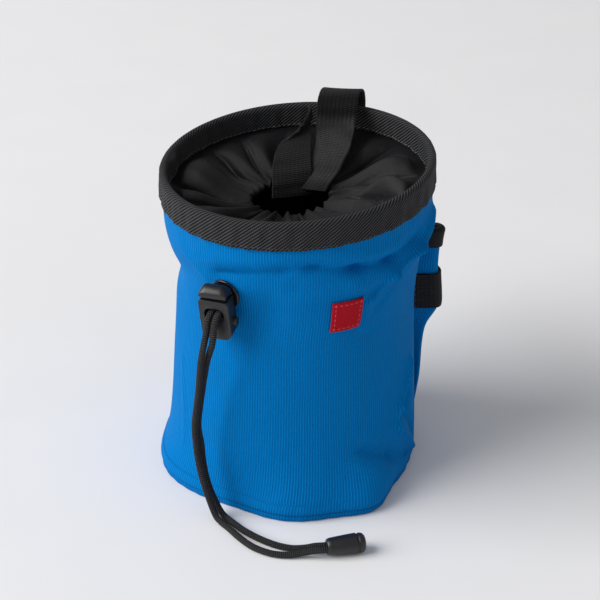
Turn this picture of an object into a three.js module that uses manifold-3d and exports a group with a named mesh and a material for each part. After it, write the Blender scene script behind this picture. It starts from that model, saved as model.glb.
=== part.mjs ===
// Climbing chalk bag: a soft cloth bucket with a taped mouth, a gathered closure and its drawcord,
// a pull strap, a brush holder on the right side and a small woven label.
// Millimetres, +Z up. The origin is the middle of the base's underside, and the front faces -Y.

import * as THREE from 'three';
import { mergeVertices } from 'three/addons/utils/BufferGeometryUtils.js';
import Module from 'manifold-3d';

const wasm = await Module();
wasm.setup();

// Driving sizes of the bag
const mouthRadius = 62.5;
const bagHeight = 150;
const mouthLeanX = 4.1;
const mouthLeanY = 6.9;
const mouthTilt = 0.058;
const clearance = 0.3;

// Cloth, tape and webbing
const wallCloth = 1.2;
const baseCloth = 1.6;
const skirtCloth = 1.0;
const tapeThickness = 1.0;
const webbingWidth = 18;
const webbingThickness = 1.2;
const bandHeight = 17.5;
const bindingOutside = 13.5;
const bindingInside = 11.5;

// Base and its seam
const seamHeight = 4;
const baseTurnUp = 5;
const baseRound = 2.6;

// Gathered closure
const holeRadiusX = 18;
const holeRadiusY = 16.7;
const holeShiftX = -2.9;
const holeShiftY = -1.4;
const hemDrop = 19.5;
const hemRoll = 1.9;
const smallGathers = 15;
const smallGatherDepth = 0.9;

// Drawcord, eyelet and cord lock
const cordDiameter = 3;
const fittingAngle = THREE.MathUtils.degToRad(-122.6);
const eyeletHeight = 109.5;
const eyeletRadius = 7.2;
const eyeletBore = 4.1;
const eyeletFlange = 1.7;
const eyeletBarrelWall = 0.9;
const lockWidth = 14;
const lockDepth = 7.6;
const lockAboveSlot = 7.4;
const lockBelowSlot = 13.2;
const lockDrop = 3.6;
const lockWall = 1.2;
const slotWidth = 9.2;
const slotHeight = 7.2;
const buttonTravel = 1.5;
const buttonCapHeight = 4.3;
const pegRadius = 2;
const pegReach = 1.8;
const pegSides = 10;
const pegDepthShare = 0.42;
const pegDropShare = 0.36;
const lockLowRound = 4;
const lockTopRound = 1.4;
const lockBevel = 0.8;
const slotRound = 2.6;
const stemSlotLowRound = 1.6;
const buttonLowRound = 0.9;
const buttonTopRound = 3.4;

// End piece of the drawcord
const endLength = 17.8;
const endRadius = 4.7;
const endHeading = new THREE.Vector3(0.975, 0.22, 0).normalize();

// Brush holder on the right side
const sleeveStart = 10.5;
const sleeveCloth = 1.2;
const sleeveTop = 108.2;
const sleeveMouthDrop = 7;
const sleeveBottom = 20;
const sleeveBulge = 14;
const sleeveTape = 7.4;
const tapeShare = 0.84;
const bandLow = 69.5;

// Label
const labelSize = 15;
const labelThickness = 1;
const labelAngle = THREE.MathUtils.degToRad(-67.5);
const labelHeight = 100.5;

const wallRadius = mouthRadius - tapeThickness - clearance;

// Wall sections from the base seam up: girth is a share of wallRadius, leanX and leanY of the mouth's lean
const wallSections = [
  { up: 0.00, girth: 0.985, leanX: 0.00, leanY: 0.00 },
  { up: 0.07, girth: 0.957, leanX: 0.40, leanY: 0.10 },
  { up: 0.18, girth: 0.940, leanX: 0.58, leanY: 0.22 },
  { up: 0.36, girth: 0.918, leanX: 0.66, leanY: 0.42 },
  { up: 0.55, girth: 0.896, leanX: 0.72, leanY: 0.62 },
  { up: 0.66, girth: 0.913, leanX: 1.00, leanY: 0.76 },
  { up: 0.75, girth: 0.965, leanX: 1.10, leanY: 0.86 },
  { up: 0.84, girth: 0.995, leanX: 1.05, leanY: 0.94 },
  { up: 1.00, girth: 1.000, leanX: 1.00, leanY: 1.00 },
];

// Dents (+) and bulges (-) of the wall: angle and half width in degrees, up and half height as shares
// of the bag's height, depth as a share of wallRadius, slant as the rise in shares per degree
const wallDents = [
  { angle: 179, halfWidth: 17, up: 0.690, halfHeight: 0.060, depth: 0.075, slant: 0.0000 },
  { angle: -152, halfWidth: 14, up: 0.735, halfHeight: 0.040, depth: 0.022, slant: 0.0020 },
  { angle: -88, halfWidth: 24, up: 0.780, halfHeight: 0.038, depth: 0.046, slant: -0.0004 },
  { angle: -104, halfWidth: 9, up: 0.680, halfHeight: 0.085, depth: 0.038, slant: 0.0000 },
  { angle: -66, halfWidth: 10, up: 0.660, halfHeight: 0.060, depth: -0.020, slant: 0.0020 },
  { angle: -45, halfWidth: 14, up: 0.730, halfHeight: 0.034, depth: 0.036, slant: 0.0030 },
  { angle: -22, halfWidth: 12, up: 0.790, halfHeight: 0.050, depth: -0.026, slant: 0.0030 },
  { angle: -12, halfWidth: 7, up: 0.520, halfHeight: 0.160, depth: -0.018, slant: 0.0000 },
  { angle: -24, halfWidth: 8, up: 0.240, halfHeight: 0.030, depth: 0.040, slant: 0.0020 },
  { angle: -42, halfWidth: 15, up: 0.130, halfHeight: 0.035, depth: 0.034, slant: -0.0015 },
  { angle: -54, halfWidth: 13, up: 0.010, halfHeight: 0.100, depth: -0.120, slant: 0.0000 },
  { angle: -84, halfWidth: 26, up: 0.000, halfHeight: 0.110, depth: -0.075, slant: 0.0000 },
  { angle: -114, halfWidth: 16, up: 0.010, halfHeight: 0.090, depth: 0.040, slant: 0.0000 },
  { angle: -158, halfWidth: 18, up: 0.020, halfHeight: 0.090, depth: -0.045, slant: 0.0000 },
  { angle: -80, halfWidth: 22, up: 0.300, halfHeight: 0.140, depth: 0.020, slant: 0.0000 },
  { angle: 62, halfWidth: 16, up: 0.700, halfHeight: 0.050, depth: 0.045, slant: -0.0020 },
  { angle: 118, halfWidth: 18, up: 0.640, halfHeight: 0.060, depth: 0.040, slant: 0.0020 },
  { angle: 95, halfWidth: 22, up: 0.160, halfHeight: 0.060, depth: 0.030, slant: 0.0010 },
];

// Big folds of the skirt: angle and half width in degrees, rise as a share of the hem's drop,
// middle as a share of the way from the binding in to the hem
const skirtFolds = [
  { angle: 178, halfWidth: 15, rise: 0.24, middle: 0.45 },
  { angle: 147, halfWidth: 11, rise: 0.20, middle: 0.52 },
  { angle: 121, halfWidth: 8, rise: 0.10, middle: 0.58 },
  { angle: 106, halfWidth: 6, rise: -0.14, middle: 0.60 },
  { angle: 44, halfWidth: 10, rise: -0.12, middle: 0.50 },
  { angle: 22, halfWidth: 9, rise: 0.10, middle: 0.55 },
  { angle: 2, halfWidth: 7, rise: -0.10, middle: 0.62 },
  { angle: -20, halfWidth: 13, rise: 0.20, middle: 0.50 },
  { angle: -44, halfWidth: 6, rise: -0.12, middle: 0.65 },
  { angle: -62, halfWidth: 11, rise: 0.16, middle: 0.50 },
  { angle: -86, halfWidth: 7, rise: -0.10, middle: 0.62 },
  { angle: -108, halfWidth: 12, rise: 0.18, middle: 0.48 },
  { angle: -132, halfWidth: 6, rise: -0.12, middle: 0.60 },
  { angle: -152, halfWidth: 12, rise: 0.20, middle: 0.46 },
  { angle: -172, halfWidth: 6, rise: -0.12, middle: 0.60 },
];

// How far the brush sleeve stands off the wall at each height, as a share of its bulge
const sleeveSections = [
  { up: 0.00, bulge: 0.00 },
  { up: 0.16, bulge: 0.18 },
  { up: 0.36, bulge: 0.30 },
  { up: 0.46, bulge: 0.46 },
  { up: 0.55, bulge: 0.86 },
  { up: 0.62, bulge: 0.92 },
  { up: 0.78, bulge: 0.86 },
  { up: 1.00, bulge: 0.72 },
];

// Plan of the sleeve from its front edge back: degrees round the wall and a share of the bulge
const sleevePlan = [
  { up: 0.000, turn: 0.0, out: 0.00 },
  { up: 0.125, turn: -0.8, out: 0.42 },
  { up: 0.250, turn: -1.4, out: 0.84 },
  { up: 0.375, turn: 0.6, out: 1.00 },
  { up: 0.500, turn: 5.4, out: 0.94 },
  { up: 0.625, turn: 9.8, out: 0.72 },
  { up: 0.750, turn: 13.8, out: 0.42 },
  { up: 0.875, turn: 17.6, out: 0.16 },
  { up: 1.000, turn: 21.5, out: 0.00 },
];

// Webbing strands: each row is a place on the middle line and the turn of the width about +Z
const strapLoopRoute = [
  { x: 27.6, y: 65.9, z: 138.5, turn: -20, tip: 0 },
  { x: 27.6, y: 66.3, z: 147.0, turn: -20, tip: 0 },
  { x: 27.4, y: 66.2, z: 153.6, turn: -16, tip: 0 },
  { x: 26.6, y: 63.6, z: 158.2, turn: -10, tip: 0 },
  { x: 25.4, y: 59.2, z: 159.8, turn: -4, tip: 0 },
  { x: 24.6, y: 55.0, z: 158.4, turn: 0, tip: 0 },
  { x: 24.4, y: 50.6, z: 156.0, turn: -2, tip: -2 },
  { x: 24.6, y: 45.6, z: 154.0, turn: -6, tip: -5 },
  { x: 24.0, y: 39.6, z: 151.6, turn: -12, tip: -8 },
  { x: 22.6, y: 33.8, z: 148.8, turn: -17, tip: -11 },
  { x: 20.6, y: 28.4, z: 145.8, turn: -20, tip: -13 },
  { x: 17.8, y: 22.8, z: 142.6, turn: -20, tip: -13 },
  { x: 15.0, y: 17.8, z: 139.4, turn: -20, tip: -14 },
  { x: 11.4, y: 14.4, z: 136.6, turn: -19, tip: -12 },
  { x: 8.6, y: 12.4, z: 133.4, turn: -16, tip: -10 },
];
const strapTailRoute = [
  { x: 8.6, y: 55.6, z: 149.0, turn: 82, tip: 0 },
  { x: 8.6, y: 54.6, z: 146.6, turn: 78, tip: 0 },
  { x: 8.2, y: 50.0, z: 144.8, turn: 62, tip: 0 },
  { x: 7.0, y: 42.5, z: 142.8, turn: 42, tip: 0 },
  { x: 5.2, y: 33.5, z: 140.8, turn: 22, tip: 0 },
  { x: 3.6, y: 25.5, z: 137.8, turn: 8, tip: 0 },
  { x: 2.4, y: 20.6, z: 134.4, turn: 0, tip: 0 },
  { x: 2.0, y: 18.4, z: 130.4, turn: 0, tip: 0 },
  { x: 2.0, y: 18.0, z: 126.4, turn: 0, tip: 0 },
];

// Routes of the two drawcord strands, chosen along the photographed cords: out of the eyelet,
// through the lock, down in front of the wall and along the floor to the end piece
const leftCordRoute = [
  [-27.9, -41.5, 109.1],
  [-28.8, -43.0, 108.3],
  [-29.6, -44.2, 107.1],
  [-30.9, -46.2, 105.5],
  [-32.4, -48.6, 104.4],
  [-34.0, -51.1, 103.0],
  [-35.2, -53.0, 100.4],
  [-35.6, -53.8, 96.4],
  [-36.9, -57.0, 90.8],
  [-38.4, -57.8, 82.0],
  [-39.9, -56.0, 65.2],
  [-41.9, -54.6, 47.9],
  [-41.6, -54.2, 36.8],
  [-40.4, -55.4, 26.2],
  [-38.1, -58.8, 17.6],
  [-33.6, -62.2, 4.4],
  [-30.6, -65.6, 1.9],
  [-27.0, -70.0, 1.6],
  [-22.2, -77.0, 1.6],
  [-15.9, -84.2, 1.6],
  [-8.2, -88.9, 1.6],
  [-0.8, -90.4, 1.7],
  [6.0, -90.2, 2.6],
  [11.2, -90.4, 3.9],
  [15.4, -90.6, 4.5],
];
const rightCordRoute = [
  [-24.9, -43.5, 109.1],
  [-25.8, -44.9, 108.3],
  [-26.6, -46.1, 107.1],
  [-27.8, -48.1, 105.5],
  [-29.4, -50.5, 104.4],
  [-31.0, -53.1, 103.0],
  [-32.1, -55.0, 100.4],
  [-32.6, -55.7, 96.4],
  [-33.3, -57.6, 91.1],
  [-35.9, -55.4, 80.5],
  [-38.5, -52.8, 63.2],
  [-40.5, -51.6, 45.9],
  [-39.4, -51.4, 35.0],
  [-38.5, -52.3, 24.1],
  [-36.3, -54.9, 14.8],
  [-32.6, -57.2, 5.6],
  [-29.6, -60.6, 2.2],
  [-25.8, -65.0, 1.6],
  [-19.9, -72.0, 1.6],
  [-12.8, -78.2, 1.6],
  [-5.2, -83.0, 1.6],
  [1.6, -85.4, 1.7],
  [7.6, -86.3, 2.6],
  [12.0, -86.8, 3.9],
  [15.9, -87.2, 4.5],
];

// Share of the way in from the binding over which a skirt fold fades
const foldReach = 0.34;

// Small step along a surface, as a share of its width, for finding its normal
const surfaceStep = 0.01;

// Numbers of segments
const segmentsAround = 48;
const wallRows = 16;
const skirtAround = 56;
const skirtRows = 7;
const drillSides = 14;
const eyeletSides = 20;
const endSides = 14;
const cordSides = 8;
const cordSteps = 32;

// Value of one column at a share of the way, on a smooth curve through the table's rows
function smoothColumn(rows, column, share) {
  let index = 0;
  while (index < rows.length - 2 && share > rows[index + 1].up) index += 1;
  const row = (step) => rows[Math.min(Math.max(index + step, 0), rows.length - 1)];
  const from = row(0);
  const to = row(1);
  const t = THREE.MathUtils.clamp((share - from.up) / (to.up - from.up), 0, 1);
  const slope = (before, after) =>
    ((after[column] - before[column]) / Math.max(after.up - before.up, 1e-6)) * (to.up - from.up);
  const startSlope = slope(row(-1), to);
  const endSlope = slope(from, row(2));
  const t2 = t * t;
  const t3 = t2 * t;
  return (2 * t3 - 3 * t2 + 1) * from[column] + (t3 - 2 * t2 + t) * startSlope
    + (3 * t2 - 2 * t3) * to[column] + (t3 - t2) * endSlope;
}

// Signed difference of two angles in degrees, within half a turn
function angleGap(angle, from) {
  return THREE.MathUtils.euclideanModulo(angle - from + 180, 360) - 180;
}

// Height of the mouth's top edge at an angle
function mouthTop(angle) {
  return bagHeight + mouthTilt * mouthRadius * Math.cos(angle);
}

// Sum of the wall's dents at an angle in degrees and a share of the height
function dentDepth(degrees, up) {
  let depth = 0;
  for (const dent of wallDents) {
    const across = angleGap(degrees, dent.angle);
    const rise = up - dent.up - dent.slant * across;
    const reach = (across / dent.halfWidth) ** 2 + (rise / dent.halfHeight) ** 2;
    depth += dent.depth * Math.exp(-reach);
  }
  return depth * wallRadius;
}

// Point of the wall's outer face moved out by an offset; distances are measured down from the mouth
function wallPoint(angle, down, offset) {
  const top = mouthTop(angle);
  const height = top - down;
  const up = THREE.MathUtils.clamp((height - seamHeight) / (top - seamHeight), 0, 1);
  const stiffened = THREE.MathUtils.smoothstep(down, 0.6 * bindingOutside, 2.2 * bindingOutside);
  const dents = dentDepth(THREE.MathUtils.radToDeg(angle), up) * stiffened;
  const radius = smoothColumn(wallSections, 'girth', up) * wallRadius - dents + offset;
  const centreX = smoothColumn(wallSections, 'leanX', up) * mouthLeanX;
  const centreY = smoothColumn(wallSections, 'leanY', up) * mouthLeanY;
  return new THREE.Vector3(
    centreX + radius * Math.cos(angle), centreY + radius * Math.sin(angle), height);
}

// The same point at a height above the floor
function wallPointAt(angle, height, offset) {
  return wallPoint(angle, mouthTop(angle) - height, offset);
}

// Closed ring round the bag: a lathe whose every vertex is placed by the section's own function
function ring(section, around, place) {
  const nominal = section.map(([out, along]) => new THREE.Vector2(mouthRadius + out, along));
  const geometry = new THREE.LatheGeometry(nominal, around);
  const position = geometry.attributes.position;
  for (let turn = 0; turn <= around; turn += 1) {
    const angle = ((turn % around) / around) * 2 * Math.PI;
    section.forEach(([out, along], index) => {
      const point = place(angle, out, along);
      position.setXYZ(turn * section.length + index, point.x, point.y, point.z);
    });
  }
  return geometry;
}

// Cloth of even thickness on a surface: a box whose vertices are laid on the surface and its normal
function sheet(columns, rows, thickness, surface) {
  const geometry = new THREE.BoxGeometry(1, 1, 1, columns, rows, 1);
  const position = geometry.attributes.position;
  for (let index = 0; index < position.count; index += 1) {
    const across = position.getX(index);
    const along = position.getY(index);
    const point = surface(across, along);
    const acrossWay = surface(Math.min(across + surfaceStep, 0.5), along)
      .sub(surface(Math.max(across - surfaceStep, -0.5), along));
    const alongWay = surface(across, Math.min(along + surfaceStep, 0.5))
      .sub(surface(across, Math.max(along - surfaceStep, -0.5)));
    const normal = acrossWay.cross(alongWay).normalize();
    point.addScaledVector(normal, position.getZ(index) * thickness);
    position.setXYZ(index, point.x, point.y, point.z);
  }
  return geometry;
}

// Solid for joining and cutting, made from a closed geometry
function solidOf(geometry) {
  const bare = geometry.clone();
  bare.deleteAttribute('normal');
  bare.deleteAttribute('uv');
  const merged = mergeVertices(bare, 1e-4);
  return new wasm.Manifold(new wasm.Mesh({
    numProp: 3,
    vertProperties: new Float32Array(merged.attributes.position.array),
    triVerts: new Uint32Array(merged.index.array),
  }));
}

// Geometry of a solid after joining and cutting
function geometryOf(solid) {
  const mesh = solid.getMesh();
  const geometry = new THREE.BufferGeometry();
  geometry.setAttribute('position', new THREE.BufferAttribute(new Float32Array(mesh.vertProperties), 3));
  geometry.setIndex(new THREE.BufferAttribute(new Uint32Array(mesh.triVerts), 1));
  return geometry;
}

const bag = new THREE.Group();

// One named piece in its own colour
function piece(name, geometry, finish) {
  const mesh = new THREE.Mesh(geometry, new THREE.MeshStandardMaterial(finish));
  mesh.name = name;
  bag.add(mesh);
}

const blueCloth = { color: 0x0a68c0, roughness: 0.75, metalness: 0 };
const charcoalTape = { color: 0x35363a, roughness: 0.85, metalness: 0 };
const blackCloth = { color: 0x1b1a1e, roughness: 0.8, metalness: 0 };
const blackWebbing = { color: 0x141416, roughness: 0.7, metalness: 0 };
const blackPlastic = { color: 0x1d1d1f, roughness: 0.45, metalness: 0 };
const redCloth = { color: 0xc01020, roughness: 0.8, metalness: 0 };

// Seat of the eyelet and the lock: across the wall, out of it and up along it
const eyeletSeat = wallPointAt(fittingAngle, eyeletHeight, 0);
const seatAbove = wallPointAt(fittingAngle, eyeletHeight + eyeletRadius, 0);
const seatBelow = wallPointAt(fittingAngle, eyeletHeight - eyeletRadius, 0);
const fittingAcross = new THREE.Vector3(Math.sin(fittingAngle), -Math.cos(fittingAngle), 0);
const fittingUp = seatAbove.sub(seatBelow).normalize();
const fittingOut = fittingUp.clone().cross(fittingAcross).normalize();
const fittingFrame = new THREE.Matrix4()
  .makeBasis(fittingAcross, fittingOut, fittingUp)
  .setPosition(eyeletSeat);
const barrelRadius = eyeletBore + eyeletBarrelWall;

// Blue wall, hollow from the seam up into the binding, with a hole for the eyelet's barrel
function makeShell() {
  const wallTop = tapeThickness + clearance;
  const ups = [0];
  for (let row = 0; row <= wallRows; row += 1) ups.push(row / wallRows);
  const section = ups.map((up, index) => [0, index === 0 ? -1 : up]);
  for (let index = section.length - 1; index >= 0; index -= 1) section.push([-wallCloth, section[index][1]]);
  section.push(section[0]);
  const wall = solidOf(ring(section, segmentsAround, (angle, out, up) => {
    const span = mouthTop(angle) - seamHeight - baseTurnUp - wallTop;
    const height = up < 0 ? seamHeight : seamHeight + baseTurnUp + up * span;
    return wallPointAt(angle, height, out);
  }));
  const drillLength = 10 * wallCloth;
  const drill = new THREE.CylinderGeometry(
    barrelRadius + clearance, barrelRadius + clearance, drillLength, drillSides);
  drill.applyMatrix4(fittingFrame);
  return geometryOf(wall.subtract(solidOf(drill)));
}
piece('shell', makeShell(), blueCloth);

// Base: a flat disc with a rounded rim under the wall's seam, turned up inside the wall
function makeBase() {
  const inside = -wallCloth - clearance;
  const section = [[-mouthRadius, 0]];
  const bends = 3;
  for (let step = 0; step <= bends; step += 1) {
    const bend = (step / bends) * (Math.PI / 2);
    section.push([-baseRound * (1 - Math.sin(bend)), baseRound * (1 - Math.cos(bend))]);
  }
  section.push([0, seamHeight - clearance]);
  section.push([inside, seamHeight - clearance]);
  section.push([inside, seamHeight + baseTurnUp]);
  section.push([inside - baseCloth, seamHeight + baseTurnUp]);
  section.push([inside - baseCloth, baseCloth]);
  section.push([-mouthRadius, baseCloth]);
  return ring(section, segmentsAround, (angle, out, height) => {
    if (out <= -mouthRadius) return new THREE.Vector3(0, 0, height);
    return wallPointAt(angle, Math.max(height, seamHeight), out).setZ(height);
  });
}
piece('base_panel', makeBase(), blueCloth);

// Binding: tape folded over the wall's top edge, longer outside than inside
function makeBinding() {
  const outer = tapeThickness + clearance;
  const inner = -wallCloth - clearance - tapeThickness;
  const section = [
    [clearance, bindingOutside],
    [outer, bindingOutside],
    [outer, bindingOutside / 2],
    [outer, tapeThickness],
    [outer - tapeThickness / 2, 0],
    [inner + tapeThickness / 2, 0],
    [inner, tapeThickness],
    [inner, bindingInside],
    [inner + tapeThickness, bindingInside],
    [inner + tapeThickness, tapeThickness],
    [clearance, tapeThickness],
    [clearance, bindingOutside / 2],
  ];
  section.push(section[0]);
  return ring(section, segmentsAround, (angle, out, down) => wallPoint(angle, down, out));
}
piece('rim_binding', makeBinding(), charcoalTape);

// Height of the skirt above the straight line from the binding to the hem
function skirtRise(degrees, share) {
  let rise = 0;
  for (const fold of skirtFolds) {
    const across = angleGap(degrees, fold.angle) / fold.halfWidth;
    const along = (share - fold.middle) / foldReach;
    rise += fold.rise * Math.exp(-across * across - along * along);
  }
  const inner = THREE.MathUtils.smoothstep(share, 0.05, 0.25);
  const gathers = smallGatherDepth * Math.cos(THREE.MathUtils.degToRad(degrees) * smallGathers) * share ** 3;
  return rise * hemDrop * inner + gathers;
}

// Skirt: from under the binding's inner edge in to the rolled hem round the hand hole
function makeSkirt() {
  const start = -wallCloth - clearance;
  const startDown = bindingInside + clearance;
  const section = [];
  for (let row = 0; row <= skirtRows; row += 1) section.push([row / skirtRows, 0]);
  const rollSteps = 5;
  for (let step = 1; step <= rollSteps; step += 1) section.push([1 + step, 0]);
  for (let row = skirtRows; row >= 0; row -= 1) section.push([row / skirtRows, -skirtCloth]);
  section.push(section[0]);
  return ring(section, skirtAround, (angle, share, lift) => {
    const edge = wallPoint(angle, startDown, start);
    const acrossHole = holeShiftX + (holeRadiusX + hemRoll) * Math.cos(angle);
    const hem = new THREE.Vector3(
      mouthLeanX + acrossHole,
      mouthLeanY + holeShiftY + (holeRadiusY + hemRoll) * Math.sin(angle),
      bagHeight + mouthTilt * acrossHole - hemDrop + hemRoll,
    );
    const degrees = THREE.MathUtils.radToDeg(angle);
    if (share <= 1) {
      const point = edge.clone().lerp(hem, share);
      point.z = THREE.MathUtils.lerp(edge.z, hem.z, share ** 1.4) + skirtRise(degrees, share) + lift;
      return point;
    }
    const roll = ((share - 1) / (rollSteps + 1)) * Math.PI;
    const gather = skirtRise(degrees, 1);
    return hem.add(new THREE.Vector3(
      -hemRoll * Math.sin(roll) * Math.cos(angle),
      -hemRoll * Math.sin(roll) * Math.sin(angle),
      gather - (1 - Math.cos(roll)) * hemRoll - skirtCloth / 2,
    ));
  });
}
piece('skirt', makeSkirt(), blackCloth);

// Webbing along a route of rows; turn twists its width about +Z and tip lifts one edge
function makeStrap(route, steps) {
  const curve = new THREE.CatmullRomCurve3(route.map((row) => new THREE.Vector3(row.x, row.y, row.z)));
  const rows = route.map((row, index) => ({ ...row, up: index / (route.length - 1) }));
  return sheet(3, steps, webbingThickness, (across, along) => {
    const share = along + 0.5;
    const turn = THREE.MathUtils.degToRad(smoothColumn(rows, 'turn', share));
    const tip = THREE.MathUtils.degToRad(smoothColumn(rows, 'tip', share));
    const width = new THREE.Vector3(
      Math.cos(turn) * Math.cos(tip), Math.sin(turn) * Math.cos(tip), Math.sin(tip));
    return curve.getPoint(share).addScaledVector(width, across * webbingWidth);
  });
}
piece('strap_loop', makeStrap(strapLoopRoute, 36), blackWebbing);
piece('strap_tail', makeStrap(strapTailRoute, 14), blackWebbing);

// Eyelet: a domed flange on the wall and a barrel through it, turned about the bore
function makeEyelet() {
  const profile = [
    [eyeletBore, -wallCloth - clearance],
    [barrelRadius, -wallCloth - clearance],
    [barrelRadius, 2 * clearance],
    [eyeletRadius, 2 * clearance],
    [eyeletRadius, 0.55 * eyeletFlange],
    [eyeletRadius - 0.6, eyeletFlange],
    [eyeletBore + 0.7, eyeletFlange],
    [eyeletBore, 0.6 * eyeletFlange],
    [eyeletBore, -wallCloth - clearance],
  ].map(([radius, out]) => new THREE.Vector2(radius, out));
  return new THREE.LatheGeometry(profile, eyeletSides).applyMatrix4(fittingFrame);
}
piece('eyelet', makeEyelet(), blackPlastic);

// Cord lock: a hollow body with a slot through it, and a button whose stem has the same slot
const slotLevel = -lockDrop;
const lockBack = eyeletFlange + clearance;
const lockTop = slotLevel + lockAboveSlot;
const stemWidth = lockWidth - 2 * (lockWall + clearance);
const stemDepth = lockDepth - 2 * (lockWall + clearance);
const stemSlotLow = slotLevel - 0.7 * cordDiameter;
const stemSlotHigh = slotLevel + 1.5 * cordDiameter;
const stemBottom = stemSlotLow - lockWall;
const cavityFloor = stemBottom - buttonTravel - clearance;

// Plate in the X-Z plane with its depth along +Y, from an outline and bevelled round its edges
function plate(outline, depth, bevel) {
  const geometry = new THREE.ExtrudeGeometry(outline, {
    depth: depth - 2 * bevel,
    bevelEnabled: bevel > 0,
    bevelThickness: bevel,
    bevelSize: bevel,
    bevelOffset: -bevel,
    bevelSegments: 1,
    curveSegments: 4,
  });
  geometry.rotateX(Math.PI / 2);
  return geometry.translate(0, depth - bevel, 0);
}

// Outline with rounded corners; low and high are its lower and upper edges
function roundedOutline(width, low, high, lowRound, highRound) {
  const half = width / 2;
  const shape = new THREE.Shape();
  shape.moveTo(-half + lowRound, low);
  shape.lineTo(half - lowRound, low);
  shape.absarc(half - lowRound, low + lowRound, lowRound, -Math.PI / 2, 0, false);
  shape.lineTo(half, high - highRound);
  shape.absarc(half - highRound, high - highRound, highRound, 0, Math.PI / 2, false);
  shape.lineTo(-half + highRound, high);
  shape.absarc(-half + highRound, high - highRound, highRound, Math.PI / 2, Math.PI, false);
  shape.lineTo(-half, low + lowRound);
  shape.absarc(-half + lowRound, low + lowRound, lowRound, Math.PI, 1.5 * Math.PI, false);
  return shape;
}

function makeLockBody() {
  const outline = roundedOutline(
    lockWidth, slotLevel - lockBelowSlot, lockTop, lockLowRound, lockTopRound);
  const block = plate(outline, lockDepth, lockBevel);
  const slotOutline = roundedOutline(
    slotWidth, slotLevel - slotHeight / 2, slotLevel + slotHeight / 2, slotRound, slotRound);
  const slot = plate(slotOutline, 3 * lockDepth, 0);
  slot.translate(0, -lockDepth, 0);
  const cavityHeight = 2 * (lockTop - cavityFloor);
  const cavity = new THREE.BoxGeometry(
    stemWidth + 2 * clearance, stemDepth + 2 * clearance, cavityHeight);
  cavity.translate(0, lockDepth / 2, cavityFloor + cavityHeight / 2);
  const pegLength = (lockWidth - stemWidth) / 2 + pegReach;
  const peg = new THREE.CylinderGeometry(pegRadius, pegRadius, pegLength, pegSides);
  peg.rotateZ(Math.PI / 2);
  const pegPlace = (lockWidth / 2 + pegReach + stemWidth / 2 + 1) / 2;
  let body = solidOf(block);
  for (const side of [-1, 1]) {
    const one = peg.clone().translate(
      side * pegPlace, pegDepthShare * lockDepth, slotLevel - pegDropShare * lockBelowSlot);
    body = body.add(solidOf(one));
  }
  body = body.subtract(solidOf(slot)).subtract(solidOf(cavity));
  return geometryOf(body).translate(0, lockBack, 0).applyMatrix4(fittingFrame);
}
piece('cord_lock_body', makeLockBody(), blackPlastic);

function makeLockButton() {
  const capLow = lockTop + buttonTravel + clearance;
  const capOutline = roundedOutline(
    lockWidth - 1, capLow, capLow + buttonCapHeight, buttonLowRound, buttonTopRound);
  const cap = plate(capOutline, lockDepth - 2 * clearance, lockBevel);
  cap.translate(0, clearance, 0);
  const stemHeight = capLow + 1 - stemBottom;
  const stem = new THREE.BoxGeometry(stemWidth, stemDepth, stemHeight);
  stem.translate(0, lockDepth / 2, stemBottom + stemHeight / 2);
  const slotOutline = roundedOutline(
    slotWidth, stemSlotLow, stemSlotHigh, stemSlotLowRound, slotRound);
  const slot = plate(slotOutline, 3 * lockDepth, 0);
  slot.translate(0, -lockDepth, 0);
  const button = solidOf(cap).add(solidOf(stem)).subtract(solidOf(slot));
  return geometryOf(button).translate(0, lockBack, 0).applyMatrix4(fittingFrame);
}
piece('cord_lock_button', makeLockButton(), blackPlastic);

// Drawcord strands
function makeCord(route) {
  const round = new THREE.Shape();
  const radius = cordDiameter / 2;
  for (let side = 0; side < cordSides; side += 1) {
    const angle = (side / cordSides) * 2 * Math.PI;
    if (side === 0) round.moveTo(radius, 0);
    else round.lineTo(radius * Math.cos(angle), radius * Math.sin(angle));
  }
  const path = new THREE.CatmullRomCurve3(route.map(([x, y, z]) => new THREE.Vector3(x, y, z)));
  return new THREE.ExtrudeGeometry(round, { extrudePath: path, steps: cordSteps });
}
piece('drawcord_left', makeCord(leftCordRoute), blackWebbing);
piece('drawcord_right', makeCord(rightCordRoute), blackWebbing);

// End piece: a tapered barrel with a groove before its rounded tip, lying on the floor
function makeCordEnd() {
  const profile = [
    [0, 0], [0.66, 0], [0.80, 0.05], [0.92, 0.40], [1.00, 0.74], [0.90, 0.77], [0.90, 0.82],
    [0.97, 0.84], [0.86, 0.94], [0.50, 1.00], [0, 1.00],
  ].map(([radius, along]) => new THREE.Vector2(radius * endRadius, along * endLength));
  const geometry = new THREE.LatheGeometry(profile, endSides);
  const last = (route) => new THREE.Vector3(...route[route.length - 1]);
  const start = last(leftCordRoute).add(last(rightCordRoute)).multiplyScalar(0.5);
  geometry.applyQuaternion(
    new THREE.Quaternion().setFromUnitVectors(new THREE.Vector3(0, 1, 0), endHeading));
  start.addScaledVector(endHeading, cordDiameter / 2).setZ(endRadius);
  return geometry.translate(start.x, start.y, start.z);
}
piece('cord_end', makeCordEnd(), blackPlastic);

// Middle surface of the brush sleeve
function sleevePoint(across, height) {
  const share = across + 0.5;
  const angle = THREE.MathUtils.degToRad(sleeveStart + smoothColumn(sleevePlan, 'turn', share));
  const up = (height - sleeveBottom) / (sleeveTop - sleeveBottom);
  const bulge = smoothColumn(sleeveSections, 'bulge', up) * sleeveBulge;
  const out = bulge * smoothColumn(sleevePlan, 'out', share);
  return wallPointAt(angle, height, clearance + sleeveCloth / 2 + out);
}

// Height of the sleeve's mouth, lower where the sleeve runs back to the wall
function sleeveMouth(across) {
  return sleeveTop - sleeveMouthDrop * THREE.MathUtils.smoothstep(across, -0.15, 0.35);
}

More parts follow.
